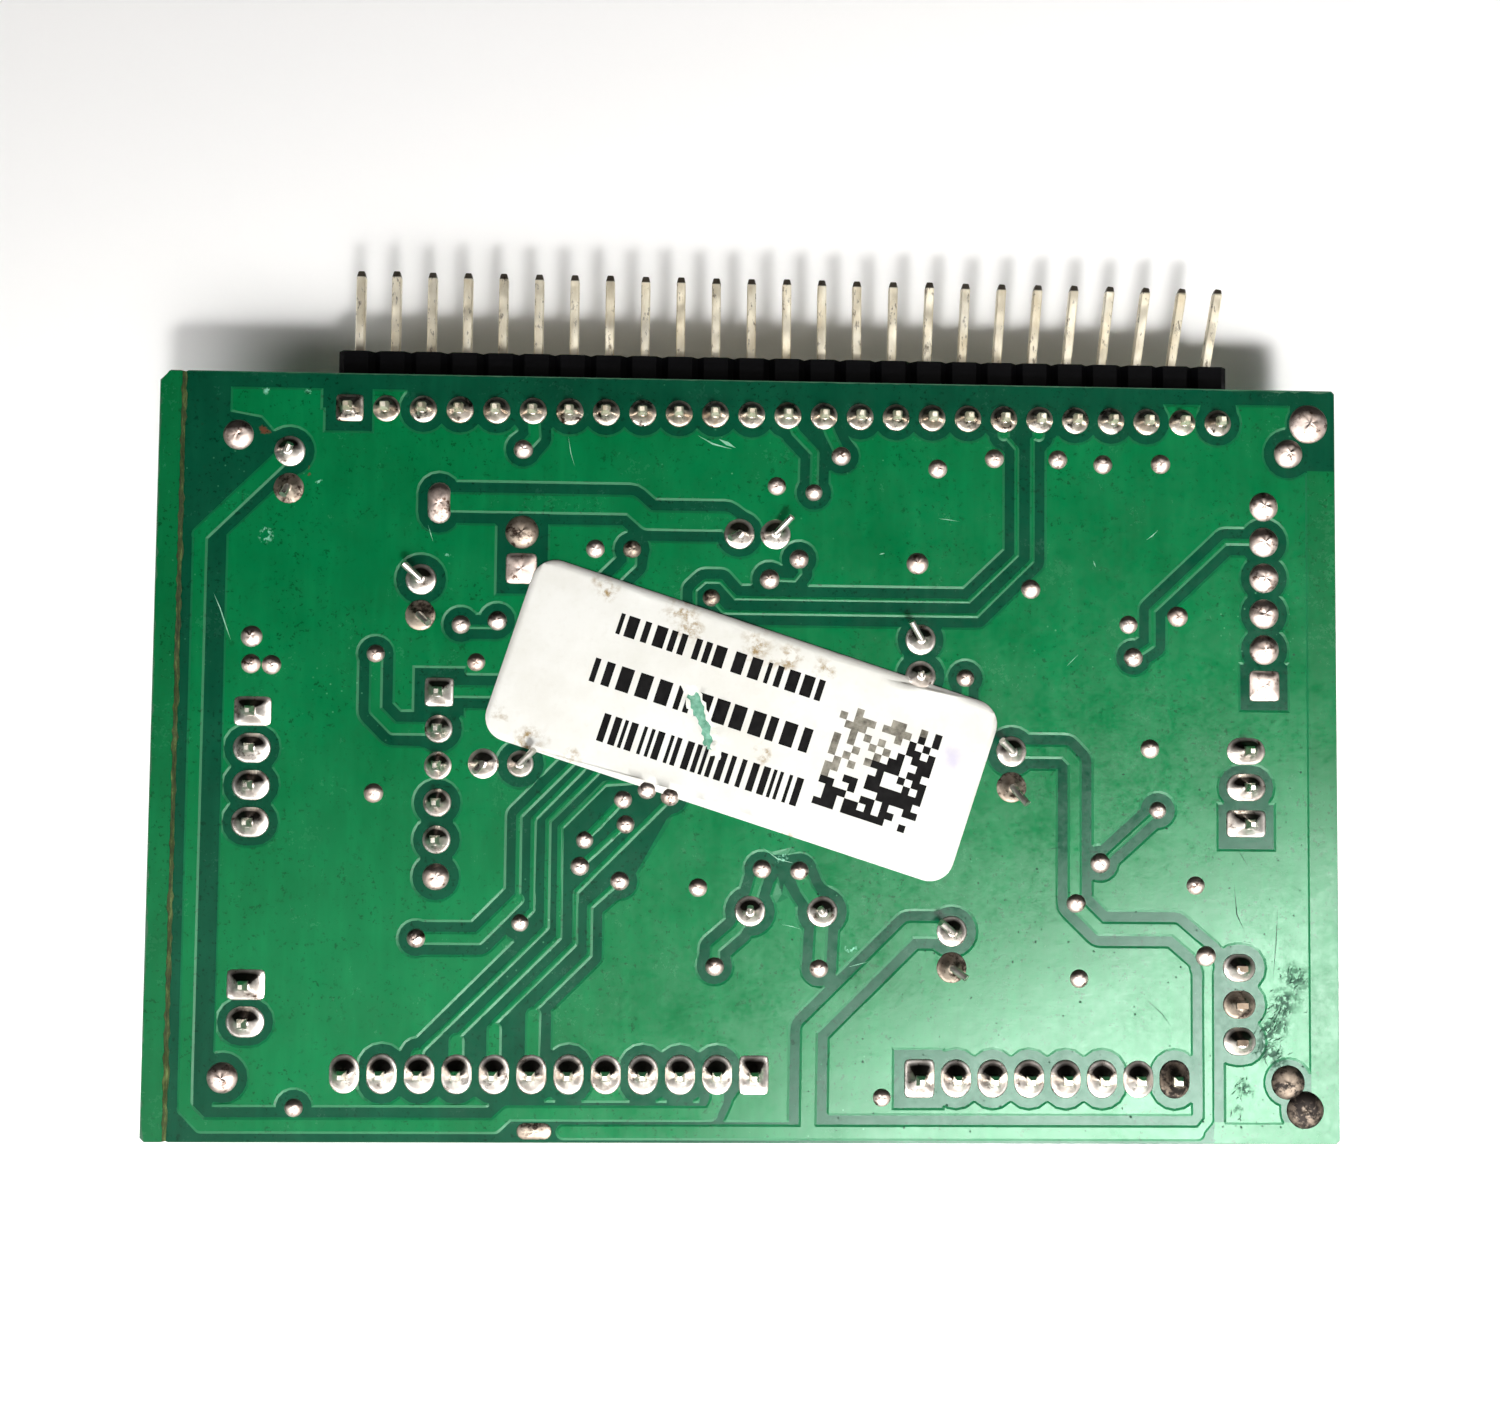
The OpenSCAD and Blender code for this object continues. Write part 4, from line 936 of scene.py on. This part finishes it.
def label_finish():
    f = Finish("label_paper", specular_ior_level=0.25)
    base = f.shades(f.noise(150, 5, 0.65), (200, 199, 192), (211, 211, 207), 0.3, 0.6)
    fibres = f.noise(2200, 3, 0.7)
    base = f.mix(f.span(fibres, 0.55, 0.75, 0.0, 0.12), base, srgb(176, 170, 156))
    blotch = f.span(f.noise(1500, 4, 0.7), 0.45, 0.62)
    for x, y, r in STAINS:
        base = f.mix(f.times(f.near(x, y, r*0.2, r, 0.4), blotch), base, srgb(140, 118, 78))
    base = f.mix(f.times(f.near(14.0, 0.1, 0.2, 1.1, 0.3), 0.5), base, srgb(158, 148, 190))
    f.colour(base)
    f.roughness(f.noise(300, 3), 0.5, 0.7)
    f.bump(fibres, 0.008)
    return f.mat


# brown stains on the label: x, y, radius
STAINS = [(-10.3, 11.6, 1.1), (-4.9, 10.0, 1.5), (-4.2, 8.7, 1.0), (0.3, 7.7, 1.4), (2.4, 6.9, 1.3),
          (5.0, 6.4, 1.0), (-15.4, 1.0, 1.3), (-12.6, -0.2, 0.9), (2.6, -5.5, 1.0), (-17.3, 3.0, 0.8),
          (0.8, 0.2, 0.8)]
PAPER = label_finish()
INK = mottled("label_print", (2, 2, 2), (12, 11, 11), 1500, (0.6, 0.8), 0.004, specular_ior_level=0.08)
FADED = mottled("label_faded_print", (70, 66, 58), (150, 146, 134), 1200, (0.6, 0.8), 0.004,
                specular_ior_level=0.1)
BARED = mottled("label_torn_to_mask", (8, 104, 72), (110, 170, 146), 1500, (0.4, 0.6), 0.03)
TORN = mottled("label_torn_paper", (196, 198, 188), (222, 222, 216), 1200, (0.7, 0.85), 0.05)


def printed_row(rng, v, u0, u1, h, widths, gaps):
    """A row of plain bars, all of height h."""
    bars = []
    while u0 < u1:
        w = widths[rng.integers(len(widths))]
        bars.append(rect(u0, min(u0 + w, u1), v - h/2, v + h/2))
        u0 += w + gaps[rng.integers(len(gaps))]
    return bars


def ragged(points, depth, rng):
    """An outline with a random nick in the middle of each side."""
    out = []
    for p, q in zip(points, points[1:] + points[:1]):
        out.append(p)
        a, b = Vector(p), Vector(q)
        n = Vector((-(b - a).y, (b - a).x)).normalized()
        for t in (0.3, 0.55, 0.8):
            m = a.lerp(b, t) + n*depth*(rng.random() - 0.5)
            out.append((m.x, m.y))
    return out


def build_label():
    """The paper with its print cut into its top face, laid over what is under it."""
    rng = np.random.default_rng(11)
    hl, hw, r = LABEL_L/2, LABEL_W/2, LABEL_R
    rim = []
    for cu, cv, a0 in ((hl - r, hw - r, 0), (-hl + r, hw - r, 90), (-hl + r, -hw + r, 180),
                       (hl - r, -hw + r, 270)):
        for k in range(9):
            a = math.radians(a0 + 90*k/8)
            rim.append((cu + r*math.cos(a), cv + r*math.sin(a)))
    ink = printed_row(rng, 3.7, -10.3, 4.8, 1.5, (0.3, 0.45, 0.8), (0.28, 0.4, 0.62))
    ink += printed_row(rng, 0.1, -11.0, 4.9, 1.7, (0.4, 0.6, 0.95), (0.3, 0.45))
    ink += printed_row(rng, -3.5, -9.2, 5.6, 2.0, (0.25, 0.35, 0.5), (0.22, 0.3, 0.42))
    # a hole torn down to the mask, and the rougher paper round it
    tear = [on_label(x, y) for x, y in (
        (-4.45, 4.35), (-3.75, 4.45), (-3.3, 3.5), (-3.0, 2.4), (-2.75, 1.4), (-2.75, 0.5), (-3.25, 0.75),
        (-3.5, 1.6), (-3.7, 2.5), (-4.25, 3.4))]
    torn = ragged(tear, 0.28, rng)
    mid_u, mid_v = np.mean(torn, axis=0)
    skirt = ragged([(mid_u + (u - mid_u)*1.5 + 0.1, mid_v + (v - mid_v)*1.28) for u, v in tear], 0.3, rng)
    cell, code_u, code_v, cells = 0.52, 6.3, -3.9, 14
    filled = rng.random((cells, cells)) < 0.52
    lines = [[(code_u + i*cell, code_v), (code_u + i*cell, code_v + cells*cell)] for i in range(cells + 1)]
    lines += [[(code_u, code_v + j*cell), (code_u + cells*cell, code_v + j*cell)] for j in range(cells + 1)]
    grid = [(u, v) for u in np.arange(-hl + 0.5, hl - 0.3, 0.5) for v in np.arange(-hw + 0.5, hw - 0.3, 0.5)]
    xy, tris = triangulate([rim, torn, skirt] + ink + lines, grid)
    centre = xy[tris].mean(1)
    tris = tris[polygon_distance(centre, rim) < 0]
    centre = xy[tris].mean(1)
    kind = np.zeros(len(tris), int)     # 0 paper, 1 ink, 2 faded ink, 3 bared mask, 4 torn paper
    for poly in ink:
        kind[((centre > poly[0]) & (centre < poly[2])).all(1)] = 1
    i, j = np.floor((centre - (code_u, code_v))/cell).astype(int).T
    inside = (i >= 0) & (i < cells) & (j >= 0) & (j < cells)
    dark = inside & filled[np.clip(i, 0, cells - 1), np.clip(j, 0, cells - 1)]
    kind[dark] = np.where((i + (cells - j) < 13)[dark] & (j > 3)[dark], 2, 1)
    kind[polygon_distance(centre, skirt) < 0] = 4
    kind[polygon_distance(centre, torn) < 0] = 3
    skirt_d, torn_d = polygon_distance(xy, skirt), polygon_distance(xy, torn)
    heights, world = [], []
    for k, (u, v) in enumerate(xy):
        x, y = on_board(u, v)
        world.append((x, y))
        z = 0.16 + 0.03*noise.noise(Vector((u*0.35, v*0.35, 2.0))) + 0.012*noise.noise(Vector((u, v, 5.0)))
        if v > 0:
            z += 0.04*max(0, v/hw - 0.9)/0.1*(0.5 + 0.5*noise.noise(Vector((u*0.4, 0, 9.0))))
        z += 0.75*math.exp(-(math.hypot(x - 11.75, y - 5.8)/1.25)**2)       # over a joint
        for a, b, _ in UNDER_LABEL:
            z += 0.26*math.exp(-(math.hypot(x - a, y - b)/0.7)**2)
        z += 0.12*math.exp(-((math.hypot(x + 2.3, y - 2.5) - 1.0)/0.25)**2)     # a raised ring
        if torn_d[k] < 0.02:
            z = 0.09 + 0.02*noise.noise(Vector((u*5, v*5, 1.0)))
        elif skirt_d[k] < 0:
            z += 0.03 + 0.05*noise.noise(Vector((u*3, v*3, 4.0)))
        heights.append(z)
    verts, faces = closed_sheet(world, tris, heights, 0.02)
    under = len(faces) - len(kind)
    obj = piece("paper_label", verts, faces, [PAPER, INK, FADED, BARED, TORN],
                list(kind) + [0]*under, [True]*len(kind) + [False]*under)
    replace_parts(obj, "label")


build_label()


# ---- floor, lights, camera
def build_stage():
    """The paper that the board lies on, clear from below to the eye and to the low lamp."""
    half, steps = 1.5, 6
    row = [-half + 2*half*i/steps for i in range(steps + 1)]
    corners = [j*(steps + 1) + i for j in range(steps) for i in range(steps)]
    mesh = bpy.data.meshes.new("floor")
    mesh.from_pydata([(x, y, 0) for y in row for x in row], [],
                     [(k, k + 1, k + steps + 2, k + steps + 1) for k in corners])
    f = Finish("floor_paper", specular_ior_level=0.1, roughness=0.9)
    f.colour(f.ramp(f.noise(14, 3), (0.3, (0.945, 0.945, 0.95)), (0.7, (0.965, 0.965, 0.965))))
    mesh.materials.append(f.mat)
    through = f.new("ShaderNodeMixShader")
    f.link(f.math("MAXIMUM", f.new("ShaderNodeNewGeometry").outputs["Backfacing"],
                  f.new("ShaderNodeLightPath").outputs["Is Shadow Ray"]), through.inputs[0])
    f.link(f.bsdf.outputs[0], through.inputs[1])
    f.link(f.new("ShaderNodeBsdfTransparent").outputs[0], through.inputs[2])
    f.link(through.outputs[0], f.tree.nodes["Material Output"].inputs["Surface"])
    add("floor", mesh)


def light(name, kind, place, target, watts, colour, **settings):
    """A light that points from its place at its target."""
    data = bpy.data.lights.new(name, kind)
    data.energy, data.color = watts, colour
    for key, value in settings.items():
        setattr(data, key, value)
    obj = add(name, data)
    obj.location = place
    obj.rotation_euler = (Vector(target) - Vector(place)).to_track_quat("-Z", "Y").to_euler()
    return obj


def build_lights():
    light("window", "AREA", (-0.16, -0.50, 0.63), (0, 0, 0.008), 7.0, (1.0, 0.99, 0.975),
          shape="RECTANGLE", size=1.05, size_y=0.30)
    ceiling = light("ceiling", "AREA", (-0.12, -0.28, 1.0), (-0.12, -0.28, 0), 0.9, (1.0, 0.985, 0.96),
                    shape="RECTANGLE", size=0.76, size_y=0.50)
    light("low_lamp", "AREA", (0.05, -0.1, -0.4), (0, 0, 0), 3.2, (1, 1, 1), size=0.6).visible_camera = False
    skylight = light("skylight", "AREA", (0.213, -0.172, 0.609), (0.213, -0.172, 0), 6.5, (1.0, 0.99, 0.97),
                     shape="RECTANGLE", size=0.32, size_y=0.183)
    light("near_front", "SPOT", (0.16, -0.48, 0.62), (0.13, -0.325, 0.008), 185, (1.0, 0.99, 0.97),
          spot_size=math.radians(56), spot_blend=1.0, shadow_soft_size=0.1)
    # these two face straight down, and show only as gloss on the mask and the solder
    for gloss, turn in ((ceiling, 0), (skylight, 26.6)):
        gloss.rotation_euler = (0, 0, math.radians(turn))
        gloss.visible_diffuse = False


def build_room():
    """A room that is dark behind the board and bright in front of it, with a pale backdrop for the eye."""
    world = bpy.data.worlds.new("room")
    scene.world = world
    world.use_nodes = True
    w = Nodes(world.node_tree, "Generated")
    toward = w.new("ShaderNodeVectorMath", operation="DOT_PRODUCT")
    toward.inputs[1].default_value = (0.2, -0.9, 0.1)
    w.link(w.coord, toward.inputs[0])
    shade = w.ramp(toward.outputs["Value"], (0.1, (0.014, 0.011, 0.010)), (0.9, (0.41, 0.385, 0.37)))
    seen = w.mix(w.new("ShaderNodeLightPath").outputs["Is Camera Ray"], shade, (0.42, 0.42, 0.43))
    w.link(seen, w.tree.nodes["Background"].inputs["Color"])


build_stage()
build_lights()
build_room()
scene.view_settings.view_transform = "Standard"
camera = add("camera", bpy.data.cameras.new("camera"))
camera.location = Vector((-3.91, -5.81, 117.16))*MM
camera.rotation_euler = [math.radians(a) for a in (2.714, -2.021, 0.559)]
camera.data.lens, camera.data.sensor_width, camera.data.clip_start = 37.56, 36, 0.005
scene.camera = camera
